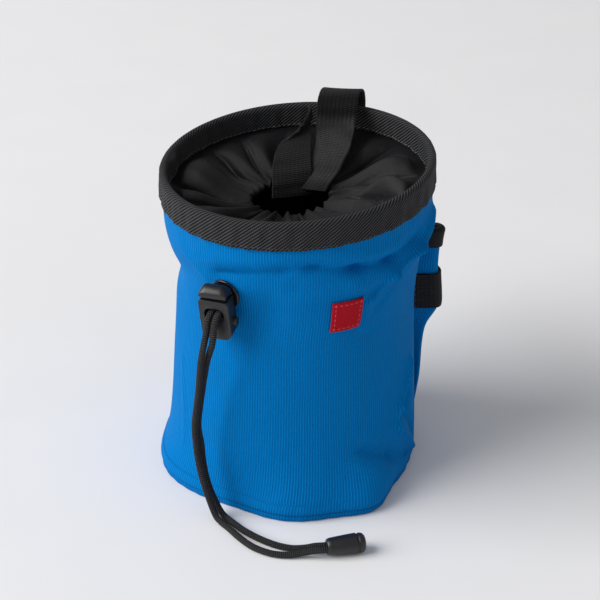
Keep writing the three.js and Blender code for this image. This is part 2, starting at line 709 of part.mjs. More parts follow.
// The same surface moved along its own normal
function beyondSleeve(across, height, offset) {
  const low = sleevePoint(Math.max(across - surfaceStep, -0.5), height);
  const acrossWay = sleevePoint(Math.min(across + surfaceStep, 0.5), height).sub(low);
  const normal = acrossWay.cross(new THREE.Vector3(0, 0, 1)).normalize();
  return sleevePoint(across, height).addScaledVector(normal, offset);
}

// Brush sleeve: a cloth half tube on the wall, open at the top and closed where it meets the wall below
piece('brush_sleeve', sheet(14, 8, sleeveCloth, (across, along) => {
  const height = THREE.MathUtils.lerp(sleeveBottom, sleeveMouth(across), along + 0.5);
  return sleevePoint(across, height);
}), blueCloth);

// Tape folded over the sleeve's mouth: a flat row on each face and four rows round the edge
const tapeOffset = (sleeveCloth + tapeThickness) / 2 + clearance;
piece('sleeve_binding', sheet(14, 6, tapeThickness, (across, along) => {
  const row = 6 * (along + 0.5);
  const bend = (Math.PI * THREE.MathUtils.clamp(row - 1, 0, 4)) / 4;
  const down = sleeveTape * Math.max(1 - row, row - 5, 0);
  const within = tapeShare * across;
  const point = beyondSleeve(within, sleeveMouth(within) - down, tapeOffset * Math.cos(bend));
  point.z += tapeOffset * Math.sin(bend);
  return point;
}), blackWebbing);

// Webbing band round the sleeve, sewn down along the sleeve's two edges
const bandOffset = (sleeveCloth + webbingThickness) / 2 + clearance;
piece('brush_band', sheet(14, 2, webbingThickness, (across, along) => {
  const height = bandLow + (along + 0.5) * bandHeight;
  return beyondSleeve(across, height, bandOffset);
}), blackWebbing);

// Woven label on the front of the wall
piece('label', sheet(4, 4, labelThickness, (across, along) => {
  const angle = labelAngle + (across * labelSize) / wallRadius;
  const height = labelHeight + along * labelSize;
  return wallPointAt(angle, height, clearance + labelThickness / 2);
}), redCloth);

export default bag;
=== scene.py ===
# Climbing chalk bag: a round cloth bag with a taped mouth, a gathered closure and a drawcord.
# Metres in the CAD frame: +Z up, the front faces -Y, the origin is under the middle of the base.
import math

import bpy
import numpy as np
from mathutils import Matrix, Vector


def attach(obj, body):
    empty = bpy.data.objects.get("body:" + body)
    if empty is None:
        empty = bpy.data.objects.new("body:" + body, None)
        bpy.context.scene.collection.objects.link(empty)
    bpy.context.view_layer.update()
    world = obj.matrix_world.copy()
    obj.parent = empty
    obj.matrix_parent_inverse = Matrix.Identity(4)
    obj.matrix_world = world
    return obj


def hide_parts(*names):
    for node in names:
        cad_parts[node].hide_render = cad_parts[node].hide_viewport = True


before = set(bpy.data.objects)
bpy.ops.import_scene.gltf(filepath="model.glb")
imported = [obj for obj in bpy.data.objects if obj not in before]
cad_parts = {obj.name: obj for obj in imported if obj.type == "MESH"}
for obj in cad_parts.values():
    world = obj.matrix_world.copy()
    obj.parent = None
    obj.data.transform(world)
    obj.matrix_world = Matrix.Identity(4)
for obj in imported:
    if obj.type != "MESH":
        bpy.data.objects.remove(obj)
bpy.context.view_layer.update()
scene = bpy.context.scene

# Camera: the photograph looks down on the bag from the front at about 30 degrees, with a long lens.
camera_data = bpy.data.cameras.new("photo_camera")
camera_data.sensor_width = 36.0
camera_data.lens = 128.3
camera_data.shift_x = 0.0142
camera_data.shift_y = 0.0053
camera_data.clip_start = 0.05
camera_aim = Vector((0.0015, 0.0069, 0.075))
camera_tilt = math.radians(30.0)
photo_camera = bpy.data.objects.new("photo_camera", camera_data)
photo_camera.location = camera_aim + Vector((0.0, -math.cos(camera_tilt), math.sin(camera_tilt)))
photo_camera.rotation_euler = (math.pi / 2 - camera_tilt, 0.0, 0.0)
scene.collection.objects.link(photo_camera)
scene.camera = photo_camera


# Drawcord: two strands of 3 mm braided cord leave the eyelet, run through the cord lock, hang in
# front of the wall and lie on the floor up to the end piece that joins them.
CORD_DIAMETER = 0.003
LEFT_ROUTE = [
    (-0.0279, -0.0415, 0.1091), (-0.0288, -0.0430, 0.1083), (-0.0296, -0.0442, 0.1071),
    (-0.0309, -0.0462, 0.1055), (-0.0324, -0.0486, 0.1044), (-0.0340, -0.0511, 0.1030),
    (-0.0352, -0.0530, 0.1004), (-0.0356, -0.0538, 0.0964), (-0.0369, -0.0570, 0.0908),
    (-0.0384, -0.0578, 0.0820), (-0.0399, -0.0560, 0.0652), (-0.0419, -0.0546, 0.0479),
    (-0.0416, -0.0542, 0.0368), (-0.0404, -0.0554, 0.0262), (-0.0381, -0.0588, 0.0176),
    (-0.0336, -0.0622, 0.0044), (-0.0306, -0.0656, 0.0019), (-0.0270, -0.0700, 0.0016),
    (-0.0222, -0.0770, 0.0016), (-0.0159, -0.0842, 0.0016), (-0.0082, -0.0889, 0.0016),
    (-0.0008, -0.0904, 0.0017), (0.0060, -0.0902, 0.0026), (0.0112, -0.0904, 0.0039),
    (0.0154, -0.0906, 0.0045), (0.0183, -0.0899, 0.0046),
]
RIGHT_ROUTE = [
    (-0.0249, -0.0435, 0.1091), (-0.0258, -0.0449, 0.1083), (-0.0266, -0.0461, 0.1071),
    (-0.0278, -0.0481, 0.1055), (-0.0294, -0.0505, 0.1044), (-0.0310, -0.0531, 0.1030),
    (-0.0321, -0.0550, 0.1004), (-0.0326, -0.0557, 0.0964), (-0.0333, -0.0576, 0.0911),
    (-0.0359, -0.0554, 0.0805), (-0.0385, -0.0528, 0.0632), (-0.0405, -0.0516, 0.0459),
    (-0.0394, -0.0514, 0.0350), (-0.0385, -0.0523, 0.0241), (-0.0363, -0.0549, 0.0148),
    (-0.0326, -0.0572, 0.0056), (-0.0296, -0.0606, 0.0022), (-0.0258, -0.0650, 0.0016),
    (-0.0199, -0.0720, 0.0016), (-0.0128, -0.0782, 0.0016), (-0.0052, -0.0830, 0.0016),
    (0.0016, -0.0854, 0.0017), (0.0076, -0.0863, 0.0026), (0.0120, -0.0868, 0.0039),
    (0.0159, -0.0872, 0.0045), (0.0188, -0.0866, 0.0046),
]


def smooth_route(points, count):
    """Points an even way apart on the smooth curve through a route."""
    route = np.asarray(points, dtype=float)
    padded = np.vstack([2 * route[0] - route[1], route, 2 * route[-1] - route[-2]])
    dense = []
    for index in range(len(route) - 1):
        before, start, end, after = padded[index:index + 4]
        t = np.linspace(0.0, 1.0, 24, endpoint=False)[:, None]
        dense.append(0.5 * (2 * start + (end - before) * t
                            + (2 * before - 5 * start + 4 * end - after) * t ** 2
                            + (3 * start - before - 3 * end + after) * t ** 3))
    dense = np.vstack(dense + [route[-1:]])
    way = np.concatenate([[0.0], np.cumsum(np.linalg.norm(np.diff(dense, axis=0), axis=1))])
    even = np.linspace(0.0, way[-1], count)
    return np.stack([np.interp(even, way, dense[:, axis]) for axis in range(3)], axis=1), even


def cloth_piece(name, points, cloth_u, cloth_v, closed_along=False, closed_across=False,
                capped=False, slots=None):
    """A smooth mesh on a grid of points, rows along and columns across, with its cloth coordinates."""
    rows, columns = points.shape[:2]
    row_steps = rows if closed_along else rows - 1
    column_steps = columns if closed_across else columns - 1
    row, column = np.meshgrid(np.arange(row_steps), np.arange(column_steps), indexing="ij")
    next_row, next_column = (row + 1) % rows, (column + 1) % columns
    quads = np.stack([row * columns + column, next_row * columns + column,
                      next_row * columns + next_column, row * columns + next_column], axis=-1)
    corners = np.stack([
        np.stack([cloth_u[row, column], cloth_v[row, column]], axis=-1),
        np.stack([cloth_u[row + 1, column], cloth_v[row + 1, column]], axis=-1),
        np.stack([cloth_u[row + 1, column + 1], cloth_v[row + 1, column + 1]], axis=-1),
        np.stack([cloth_u[row, column + 1], cloth_v[row, column + 1]], axis=-1)], axis=2)
    faces = quads.reshape(-1, 4).tolist()
    cloth = corners.reshape(-1, 2)
    face_slots = [] if slots is None else slots[row, column].ravel().tolist()
    if capped:
        first = list(range(columns))
        last = [(rows - 1) * columns + index for index in reversed(range(columns))]
        faces += [first, last]
        ends = np.stack([cloth_u[0, :columns], cloth_v[0, :columns]], axis=-1)
        cloth = np.vstack([cloth, ends, ends])
        face_slots += [0, 0] if slots is not None else []
    mesh = bpy.data.meshes.new(name)
    mesh.from_pydata(points.reshape(-1, 3).tolist(), [], faces)
    mesh.uv_layers.new(name="cloth").data.foreach_set("uv", cloth.astype(np.float32).ravel())
    mesh.polygons.foreach_set("use_smooth", np.ones(len(faces), dtype=bool))
    if face_slots:
        mesh.polygons.foreach_set("material_index", np.asarray(face_slots, dtype=np.int32))
    mesh.update()
    turn_outward(mesh)
    piece = bpy.data.objects.new(name, mesh)
    scene.collection.objects.link(piece)
    return piece


def turn_outward(mesh):
    """Turns all faces of a closed mesh over where they face inward."""
    mesh.calc_loop_triangles()
    places = np.empty(len(mesh.vertices) * 3)
    mesh.vertices.foreach_get("co", places)
    places = places.reshape(-1, 3)
    triangles = np.empty(len(mesh.loop_triangles) * 3, dtype=np.int64)
    mesh.loop_triangles.foreach_get("vertices", triangles)
    a, b, c = (places[triangles.reshape(-1, 3)[:, index]] for index in range(3))
    if (a * np.cross(b, c)).sum() < 0:
        mesh.flip_normals()


def tube(name, route, radius, sides):
    """A round closed tube along a route, with its girth and length as cloth coordinates."""
    along = np.gradient(route, axis=0)
    along /= np.linalg.norm(along, axis=1)[:, None]
    across = np.empty_like(route)
    across[0] = np.cross(along[0], (0.0, 0.0, 1.0))
    across[0] /= np.linalg.norm(across[0])
    for index in range(1, len(route)):
        across[index] = across[index - 1] - along[index] * across[index - 1].dot(along[index])
        across[index] /= np.linalg.norm(across[index])
    third = np.cross(along, across)
    angle = np.arange(sides) / sides * 2 * math.pi
    points = (route[:, None] + radius * (np.cos(angle)[None, :, None] * across[:, None]
                                         + np.sin(angle)[None, :, None] * third[:, None]))
    way = np.concatenate([[0.0], np.cumsum(np.linalg.norm(np.diff(route, axis=0), axis=1))])
    girth = np.arange(sides + 1) / sides
    cloth_u, cloth_v = np.meshgrid(girth, way)
    return cloth_piece(name, points, cloth_u, cloth_v, closed_across=True, capped=True)


def reckon(tree, operation, first, second=None, third=None):
    """One sum on numbers or sockets in a node tree."""
    node = tree.nodes.new("ShaderNodeMath")
    node.operation = operation
    for socket, value in zip(node.inputs, (first, second, third)):
        if isinstance(value, bpy.types.NodeSocket):
            tree.links.new(value, socket)
        elif value is not None:
            socket.default_value = value
    return node.outputs[0]


def effect(name, numbers):
    """A new shader group from cloth coordinates and named numbers to a height and a shade."""
    group = bpy.data.node_groups.new(name, "ShaderNodeTree")
    group.interface.new_socket("Cloth", in_out="INPUT", socket_type="NodeSocketVector")
    for number, value in numbers.items():
        socket = group.interface.new_socket(number, in_out="INPUT", socket_type="NodeSocketFloat")
        socket.default_value = value
    for output in ("Height", "Shade"):
        group.interface.new_socket(output, in_out="OUTPUT", socket_type="NodeSocketFloat")
    return group, group.nodes.new("NodeGroupInput"), group.nodes.new("NodeGroupOutput")


def split_cloth(group, start):
    """The two cloth coordinates of a group's input."""
    split = group.nodes.new("ShaderNodeSeparateXYZ")
    group.links.new(start.outputs["Cloth"], split.inputs[0])
    return split.outputs[0], split.outputs[1]


def wave(tree, turns):
    """A sine from -1 to 1 of a way counted in turns."""
    return reckon(tree, "SINE", reckon(tree, "MULTIPLY", turns, 2 * math.pi))


def raised_wave(tree, turns):
    """A wave from 0 to 1."""
    return reckon(tree, "MULTIPLY_ADD", wave(tree, turns), 0.5, 0.5)


def noise_at(tree, place, scale, detail):
    """Smooth noise from 0 to 1 at a place, at a scale that is a number or a socket."""
    noise = tree.nodes.new("ShaderNodeTexNoise")
    noise.inputs["Detail"].default_value = detail
    tree.links.new(place, noise.inputs["Vector"])
    if isinstance(scale, bpy.types.NodeSocket):
        tree.links.new(scale, noise.inputs["Scale"])
    else:
        noise.inputs["Scale"].default_value = scale
    return noise.outputs["Fac"]


braid, start, end = effect("braided_sleeve", {"Strands": 9.0, "Picks per metre": 560.0})
girth_way, length_way = split_cloth(braid, start)
turns = reckon(braid, "MULTIPLY", girth_way, start.outputs["Strands"])
picks = reckon(braid, "MULTIPLY", length_way, start.outputs["Picks per metre"])
rising = wave(braid, reckon(braid, "ADD", turns, picks))
falling = wave(braid, reckon(braid, "SUBTRACT", turns, picks))
over = reckon(braid, "MAXIMUM", rising, falling)
braid.links.new(reckon(braid, "MULTIPLY_ADD", over, 0.5, 0.5), end.inputs["Height"])
# Painted highlights: the shade is lightest where the braid's strands cross, as bright dots of light on the
# black cord.
painted_highlight_dots = reckon(braid, "MAXIMUM", reckon(braid, "MULTIPLY", rising, falling), 0.0)
braid.links.new(reckon(braid, "POWER", painted_highlight_dots, 1.3), end.inputs["Shade"])


def finish_of(name, uniform):
    """A new material with its shader's uniform values, as its tree and shader."""
    material = bpy.data.materials.new(name)
    material.use_nodes = True
    shader = material.node_tree.nodes["Principled BSDF"]
    for socket, value in uniform.items():
        shader.inputs[socket].default_value = value
    return material, material.node_tree, shader


def place_effect(tree, group, **numbers):
    """An effect placed in a material, fed by the piece's cloth coordinates."""
    node = tree.nodes.new("ShaderNodeGroup")
    node.node_tree = group
    place = tree.nodes.new("ShaderNodeUVMap")
    place.uv_map = "cloth"
    tree.links.new(place.outputs[0], node.inputs["Cloth"])
    for number, value in numbers.items():
        node.inputs[number.replace("_", " ")].default_value = value
    return node


def blend_colours(tree, shader, share, dark, light):
    """Base colour that goes from dark to light with a share."""
    ramp = tree.nodes.new("ShaderNodeMix")
    ramp.data_type = "RGBA"
    ramp.inputs["A"].default_value = (*dark, 1.0)
    ramp.inputs["B"].default_value = (*light, 1.0)
    tree.links.new(share, ramp.inputs["Factor"])
    tree.links.new(ramp.outputs["Result"], shader.inputs["Base Color"])


def raise_relief(tree, shader, layers):
    """Bumps on the shader's normal, one layer for each height and its depth in metres."""
    last = None
    for height, depth in layers:
        bump = tree.nodes.new("ShaderNodeBump")
        bump.inputs["Distance"].default_value = depth
        tree.links.new(height, bump.inputs["Height"])
        if last is not None:
            tree.links.new(last, bump.inputs["Normal"])
        last = bump.outputs[0]
    tree.links.new(last, shader.inputs["Normal"])


def mottle(tree, size):
    """Uneven patches of about a size in metres, from the piece's own coordinates."""
    place = tree.nodes.new("ShaderNodeTexCoord")
    return noise_at(tree, place.outputs["Object"], 1.0 / size, 3.0)


def vary_roughness(tree, shader, share, low, high):
    """Roughness that goes from low to high with a share."""
    reach = tree.nodes.new("ShaderNodeMapRange")
    reach.inputs["To Min"].default_value = low
    reach.inputs["To Max"].default_value = high
    tree.links.new(share, reach.inputs["Value"])
    tree.links.new(reach.outputs["Result"], shader.inputs["Roughness"])


cord_cloth, tree, shader = finish_of("cord_cloth", {"Specular IOR Level": 0.25})
weave = place_effect(tree, braid)
# The light colour paints highlight dots on the black cord where its strands cross.
blend_colours(tree, shader, weave.outputs["Shade"], (0.0015, 0.0015, 0.0015), (0.11, 0.11, 0.115))
vary_roughness(tree, shader, mottle(tree, 0.004), 0.45, 0.7)
raise_relief(tree, shader, [(weave.outputs["Height"], 0.0005), (mottle(tree, 0.0006), 0.0001)])


def turned_piece(name, profile, sides, place):
    """A solid of revolution from (radius, way along) pairs, closed in itself and set in its place."""
    profile = np.asarray(profile, dtype=float)
    angle = np.arange(sides) / sides * 2 * math.pi
    points = np.stack([
        profile[None, :, 0] * np.cos(angle)[:, None],
        profile[None, :, 0] * np.sin(angle)[:, None],
        np.repeat(profile[None, :, 1], sides, axis=0)], axis=-1)
    girth = np.arange(sides + 1) / sides * 2 * math.pi * profile[:, 0].max()
    way = np.concatenate([[0.0], np.cumsum(np.linalg.norm(np.diff(profile, axis=0), axis=1))])
    cloth_v, cloth_u = np.meshgrid(way, girth)
    piece = cloth_piece(name, points, cloth_u, cloth_v, closed_along=True)
    piece.data.transform(place)
    return piece


def rounded_profile(corners, rounds, steps=5):
    """A profile whose corners are rounded by their own radii."""
    corners = [np.asarray(corner, dtype=float) for corner in corners]
    profile = [corners[0]]
    for index in range(1, len(corners) - 1):
        before, corner, after = corners[index - 1:index + 2]
        back = (before - corner) / np.linalg.norm(before - corner)
        ahead = (after - corner) / np.linalg.norm(after - corner)
        reach = min(rounds[index], 0.48 * np.linalg.norm(before - corner),
                    0.48 * np.linalg.norm(after - corner))
        if reach <= 0:
            profile.append(corner)
            continue
        for t in np.linspace(0.0, 1.0, steps):
            profile.append((1 - t) ** 2 * (corner + back * reach) + 2 * t * (1 - t) * corner
                           + t ** 2 * (corner + ahead * reach))
    profile.append(corners[-1])
    return profile


# End piece of the drawcord: a moulded barrel that grips both strands, thinner at the cord side,
# with a groove before its rounded tip. It lies on the floor.
END_LENGTH = 0.0178
END_RADIUS = 0.0047
END_START = (0.0171, -0.0886, END_RADIUS)
end_heading = Vector((0.975, 0.22, 0.0)).normalized()
end_shares = [(0.0, 0.0), (0.70, 0.0), (0.84, 0.07), (0.94, 0.42), (1.0, 0.73), (0.985, 0.765),
              (0.89, 0.775), (0.89, 0.815), (0.975, 0.825), (0.93, 0.93), (0.62, 0.995), (0.0, 1.0)]
end_profile = rounded_profile(
    [(radius * END_RADIUS, way * END_LENGTH) for radius, way in end_shares],
    [0, 0.0005, 0.0012, 0.002, 0.0004, 0.0003, 0.0002, 0.0002, 0.0003, 0.001, 0.0012, 0])
end_place = Matrix.Translation(END_START) @ end_heading.to_track_quat("Z", "Y").to_matrix().to_4x4()
cord_end_cap = turned_piece("cord_end_cap", end_profile, 40, end_place)

grain, start, end = effect("moulded_grain", {"Grain size": 0.0004})
for output, share, detail in (("Height", 1.0, 4.0), ("Shade", 0.08, 2.0)):
    scale = reckon(grain, "DIVIDE", share, start.outputs["Grain size"])
    grain.links.new(noise_at(grain, start.outputs["Cloth"], scale, detail), end.inputs[output])


def moulded(name, dark, light, low, high, uniform, depth=0.00003):
    """Moulded plastic with a fine grain and slightly uneven gloss."""
    material, tree, shader = finish_of(name, uniform)
    surface = place_effect(tree, grain)
    blend_colours(tree, shader, surface.outputs["Shade"], dark, light)
    vary_roughness(tree, shader, surface.outputs["Shade"], low, high)
    raise_relief(tree, shader, [(surface.outputs["Height"], depth)])
    return material


black_plastic = moulded("black_plastic", (0.006, 0.006, 0.007), (0.014, 0.014, 0.016), 0.30, 0.46,
                        {"Specular IOR Level": 0.5})
cord_end_cap.data.materials.append(black_plastic)
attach(cord_end_cap, "bag")
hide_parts("cord_end")

for side, route in (("left", LEFT_ROUTE), ("right", RIGHT_ROUTE)):
    strand_path, strand_way = smooth_route(route, 260)
    strand = tube(f"drawcord_strand_{side}", strand_path, CORD_DIAMETER / 2, 20)
    strand.data.materials.append(cord_cloth)
    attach(strand, "bag")
    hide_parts(f"drawcord_{side}")


# Eyelet: a glossy turned ring pressed through the wall, with the two strands in its bore.
EYELET_RADIUS = 0.0072
EYELET_BORE = 0.0041
EYELET_FLANGE = 0.0017
fitting_seat = Vector((-0.02700, -0.04342, 0.10950))
fitting_across = Vector((-0.84245, 0.53877, 0.0))
fitting_out = Vector((-0.53180, -0.83155, -0.16034))
fitting_up = Vector((-0.09850, -0.12731, 0.98696))
fitting_place = Matrix.Translation(fitting_seat) @ Matrix(
    (fitting_across, fitting_out, fitting_up)).transposed().to_4x4()
eyelet_profile = rounded_profile([
    (EYELET_BORE, -0.0015), (EYELET_BORE, EYELET_FLANGE), (EYELET_RADIUS, EYELET_FLANGE),
    (EYELET_RADIUS, 0.0006), (EYELET_BORE + 0.0009, 0.0006), (EYELET_BORE + 0.0009, -0.0015),
    (EYELET_BORE, -0.0015)], [0, 0.0010, 0.0011, 0.0002, 0, 0, 0], 7)
to_bore = Matrix.Rotation(-math.pi / 2, 4, "X")
eyelet_ring = turned_piece("eyelet_ring", eyelet_profile, 56, fitting_place @ to_bore)
gloss_plastic = moulded("gloss_plastic", (0.004, 0.004, 0.005), (0.009, 0.009, 0.010), 0.10, 0.2,
                        {"Specular IOR Level": 0.6}, depth=0.00001)
eyelet_ring.data.materials.append(gloss_plastic)
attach(eyelet_ring, "bag")
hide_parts("eyelet")


# Cord lock: a moulded body with an oval slot for both strands and a small peg on each side, and a
# domed button on a spring. Pressing the button lets the strands slide.
LOCK_WIDTH = 0.014
LOCK_DEPTH = 0.0076
LOCK_BACK = 0.0020
SLOT_LEVEL = -0.0036
SLOT_WIDTH = 0.0092
SLOT_HALF_HEIGHT = 0.0036
SLOT_ROUND = 0.0030
LOCK_TOP = 0.0038
LOCK_BOTTOM = -0.0168
LOCK_FRONT = LOCK_BACK + LOCK_DEPTH
LOCK_WALL = 0.0012
CUT_REACH = 0.004
CAVITY_LOW = -0.0087
BUTTON_LOW = 0.0056
BUTTON_HEIGHT = 0.0043
STEM_WIDTH = 0.011
STEM_DEPTH = 0.0046
STEM_LOW = -0.0069
STEM_SLOT_LOW = -0.0075
STEM_SLOT_HIGH = 0.0023
BUTTON_GAP = 0.0003
PEG_RADIUS = 0.0020
PEG_REACH = 0.0018
PEG_ROOT = 0.001
PEG_LEVEL = -0.00835


def outline_of(width, low, high, low_round, high_round):
    """A closed outline with rounded corners, across and up."""
    half, steps = width / 2, 7
    outline = []
    for x, z, radius, turn in ((half, low, low_round, -90), (half, high, high_round, 0),
                               (-half, high, high_round, 90), (-half, low, low_round, 180)):
        centre_x = x - math.copysign(radius, x)
        centre_z = z + radius if z == low else z - radius
        for step in range(steps + 1):
            bend = math.radians(turn + 90 * step / steps)
            outline.append((centre_x + radius * math.cos(bend), centre_z + radius * math.sin(bend)))
    return outline


def slab(name, outline, near, far):
    """A straight slab between two depths, from its outline."""
    count = len(outline)
    points = [(x, near, z) for x, z in outline] + [(x, far, z) for x, z in outline]
    faces = [list(range(count)), list(range(2 * count - 1, count - 1, -1))]
    faces += [[index, index + count, (index + 1) % count + count, (index + 1) % count]
              for index in range(count)]
    mesh = bpy.data.meshes.new(name)
    mesh.from_pydata(points, [], faces)
    turn_outward(mesh)
    piece = bpy.data.objects.new(name, mesh)
    scene.collection.objects.link(piece)
    return piece


def dome(piece, near, far, low, drop):
    """Rounds the top of a slab over its depth, as a thumb rest."""
    mesh, slices = piece.data, 9
    count = len(mesh.vertices) // 2
    outline = [mesh.vertices[index].co[:] for index in range(count)]
    points = []
    for depth in np.linspace(-1.0, 1.0, slices):
        height = 1 - drop * abs(depth) ** 2.2
        points += [(x, near + (far - near) * (depth + 1) / 2, low + (z - low) * height)
                   for x, _, z in outline]
    faces = [list(range(count)), list(range(slices * count - 1, (slices - 1) * count - 1, -1))]
    for row in range(slices - 1):
        faces += [[row * count + index, (row + 1) * count + index,
                   (row + 1) * count + (index + 1) % count, row * count + (index + 1) % count]
                  for index in range(count)]
    mesh.clear_geometry()
    mesh.from_pydata(points, [], faces)
    turn_outward(mesh)


def carve(piece, others, softened):
    """Joins and cuts other solids, softens the edges and keeps the result as the piece's own mesh."""
    for other, operation in others:
        cut = piece.modifiers.new("carve", "BOOLEAN")
        cut.operation = operation
        cut.object = other
        cut.solver = "EXACT"
    edges = piece.modifiers.new("edges", "BEVEL")
    edges.width = softened
    edges.segments = 3
    edges.limit_method = "ANGLE"
    edges.angle_limit = math.radians(38)
    edges.harden_normals = True
    bpy.context.view_layer.update()
    settled = piece.evaluated_get(bpy.context.evaluated_depsgraph_get())
    mesh = bpy.data.meshes.new_from_object(settled)
    piece.modifiers.clear()
    piece.data = mesh
    for other, _ in others:
        bpy.data.objects.remove(other)
    mesh.polygons.foreach_set("use_smooth", np.ones(len(mesh.polygons), dtype=bool))
    while mesh.uv_layers:
        mesh.uv_layers.remove(mesh.uv_layers[0])
    places = np.array([mesh.vertices[loop.vertex_index].co[:] for loop in mesh.loops])
    mesh.uv_layers.new(name="cloth").data.foreach_set(
        "uv", (places[:, [0, 2]] + places[:, [1, 1]] * 0.7).astype(np.float32).ravel())


# The lock hangs on the strands a little below the eyelet and swings round towards the front
LOCK_SWING = math.radians(12)
LOCK_SHIFT = Vector((0.0007, 0.0016, -0.0015))
lock_middle = Vector((0.0, LOCK_BACK + LOCK_DEPTH / 2, 0.0))
lock_place = (fitting_place @ Matrix.Translation(lock_middle + LOCK_SHIFT)
              @ Matrix.Rotation(LOCK_SWING, 4, "Z") @ Matrix.Translation(-lock_middle))

lock_body = slab("cord_lock_shell", outline_of(LOCK_WIDTH, LOCK_BOTTOM, LOCK_TOP, 0.0042, 0.0014),
                 LOCK_BACK, LOCK_FRONT)
lock_slot = slab("slot_cut", outline_of(SLOT_WIDTH, SLOT_LEVEL - SLOT_HALF_HEIGHT,
                                        SLOT_LEVEL + SLOT_HALF_HEIGHT, SLOT_ROUND, SLOT_ROUND),
                 LOCK_BACK - CUT_REACH, LOCK_FRONT + CUT_REACH)
lock_cavity = slab("cavity_cut", outline_of(STEM_WIDTH + 2 * BUTTON_GAP, CAVITY_LOW,
                                            LOCK_TOP + CUT_REACH, 0.0006, 0.0006),
                   LOCK_BACK + LOCK_WALL, LOCK_FRONT - LOCK_WALL)
pegs = []
for side in (-1, 1):
    peg = turned_piece(f"peg_{side}", rounded_profile(
        [(0.0, 0.0), (PEG_RADIUS, 0.0), (PEG_RADIUS, PEG_REACH + PEG_ROOT), (0.0, PEG_REACH + PEG_ROOT)],
        [0, 0, 0.0007, 0]), 24,
        Matrix.Translation((side * (LOCK_WIDTH / 2 - PEG_ROOT), LOCK_BACK + 0.42 * LOCK_DEPTH, PEG_LEVEL))
        @ Matrix.Rotation(side * math.pi / 2, 4, "Y"))
    pegs.append((peg, "UNION"))
carve(lock_body, pegs + [(lock_slot, "DIFFERENCE"), (lock_cavity, "DIFFERENCE")], 0.0006)
lock_body.data.transform(lock_place)
lock_body.data.materials.append(black_plastic)
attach(lock_body, "bag")
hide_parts("cord_lock_body")

lock_button = slab("cord_lock_press_button",
                   outline_of(LOCK_WIDTH - 0.001, BUTTON_LOW, BUTTON_LOW + BUTTON_HEIGHT, 0.0009, 0.0034),
                   LOCK_BACK + BUTTON_GAP, LOCK_FRONT - BUTTON_GAP)
dome(lock_button, LOCK_BACK + BUTTON_GAP, LOCK_FRONT - BUTTON_GAP, BUTTON_LOW, 0.42)
stem_back = LOCK_BACK + LOCK_WALL + BUTTON_GAP
button_stem = slab("stem", outline_of(STEM_WIDTH, STEM_LOW, BUTTON_LOW + 0.001, 0.0005, 0.0005),
                   stem_back, stem_back + STEM_DEPTH)
stem_slot = slab("stem_cut", outline_of(SLOT_WIDTH, STEM_SLOT_LOW, STEM_SLOT_HIGH, 0.0016, 0.0026),
                 LOCK_BACK - CUT_REACH, LOCK_FRONT + CUT_REACH)
carve(lock_button, [(button_stem, "UNION"), (stem_slot, "DIFFERENCE")], 0.0008)
lock_button.data.transform(lock_place)
lock_button.data.materials.append(black_plastic)
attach(lock_button, "lock_button")
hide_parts("cord_lock_button")


# Wall: one panel of ribbed blue cloth sewn into a tube, slack enough to fold and pucker, with a
# black coated inside. It is bound into the mouth's tape and sewn to the base.
MOUTH_RADIUS = 0.0625
BAG_HEIGHT = 0.150
MOUTH_LEAN_X = 0.0041
MOUTH_LEAN_Y = 0.0069
MOUTH_TILT = 0.058
TAPE_THICKNESS = 0.0010
CLEARANCE = 0.0003
WALL_CLOTH = 0.0012
SEAM_HEIGHT = 0.004
BINDING_OUTSIDE = 0.0135
BINDING_INSIDE = 0.0115
WALL_RADIUS = MOUTH_RADIUS - TAPE_THICKNESS - CLEARANCE

# Share of the height, girth as a share of the wall's radius, and shares of the mouth's lean
wall_sections = {
    0.00: (0.985, 0.00, 0.00),
    0.07: (0.957, 0.40, 0.10),
    0.18: (0.940, 0.58, 0.22),
    0.36: (0.918, 0.66, 0.42),
    0.55: (0.896, 0.72, 0.62),
    0.66: (0.913, 1.00, 0.76),
    0.75: (0.965, 1.10, 0.86),
    0.84: (0.995, 1.05, 0.94),
    1.00: (1.000, 1.00, 1.00),
}

# Dents (+) and bulges (-): angle and half width in degrees, middle and half height as shares of
# the height, depth as a share of the wall's radius, and slant as the rise in shares per degree
wall_dents = [
    (179, 17, 0.690, 0.060, 0.075, 0.0000),
    (-152, 14, 0.735, 0.040, 0.022, 0.0020),
    (-88, 24, 0.780, 0.038, 0.046, -0.0004),
    (-104, 9, 0.680, 0.085, 0.038, 0.0000),
    (-66, 10, 0.660, 0.060, -0.020, 0.0020),
    (-45, 14, 0.730, 0.034, 0.036, 0.0030),
    (-22, 12, 0.790, 0.050, -0.026, 0.0030),
    (-12, 7, 0.520, 0.160, -0.018, 0.0000),
    (-24, 8, 0.240, 0.030, 0.040, 0.0020),
    (-42, 15, 0.130, 0.035, 0.034, -0.0015),
    (-54, 13, 0.010, 0.100, -0.120, 0.0000),
    (-84, 26, 0.000, 0.110, -0.075, 0.0000),
    (-114, 16, 0.010, 0.090, 0.040, 0.0000),
    (-158, 18, 0.020, 0.090, -0.045, 0.0000),
    (-80, 22, 0.300, 0.140, 0.020, 0.0000),
    (62, 16, 0.700, 0.050, 0.045, -0.0020),
    (118, 18, 0.640, 0.060, 0.040, 0.0020),
    (95, 22, 0.160, 0.060, 0.030, 0.0010),
]

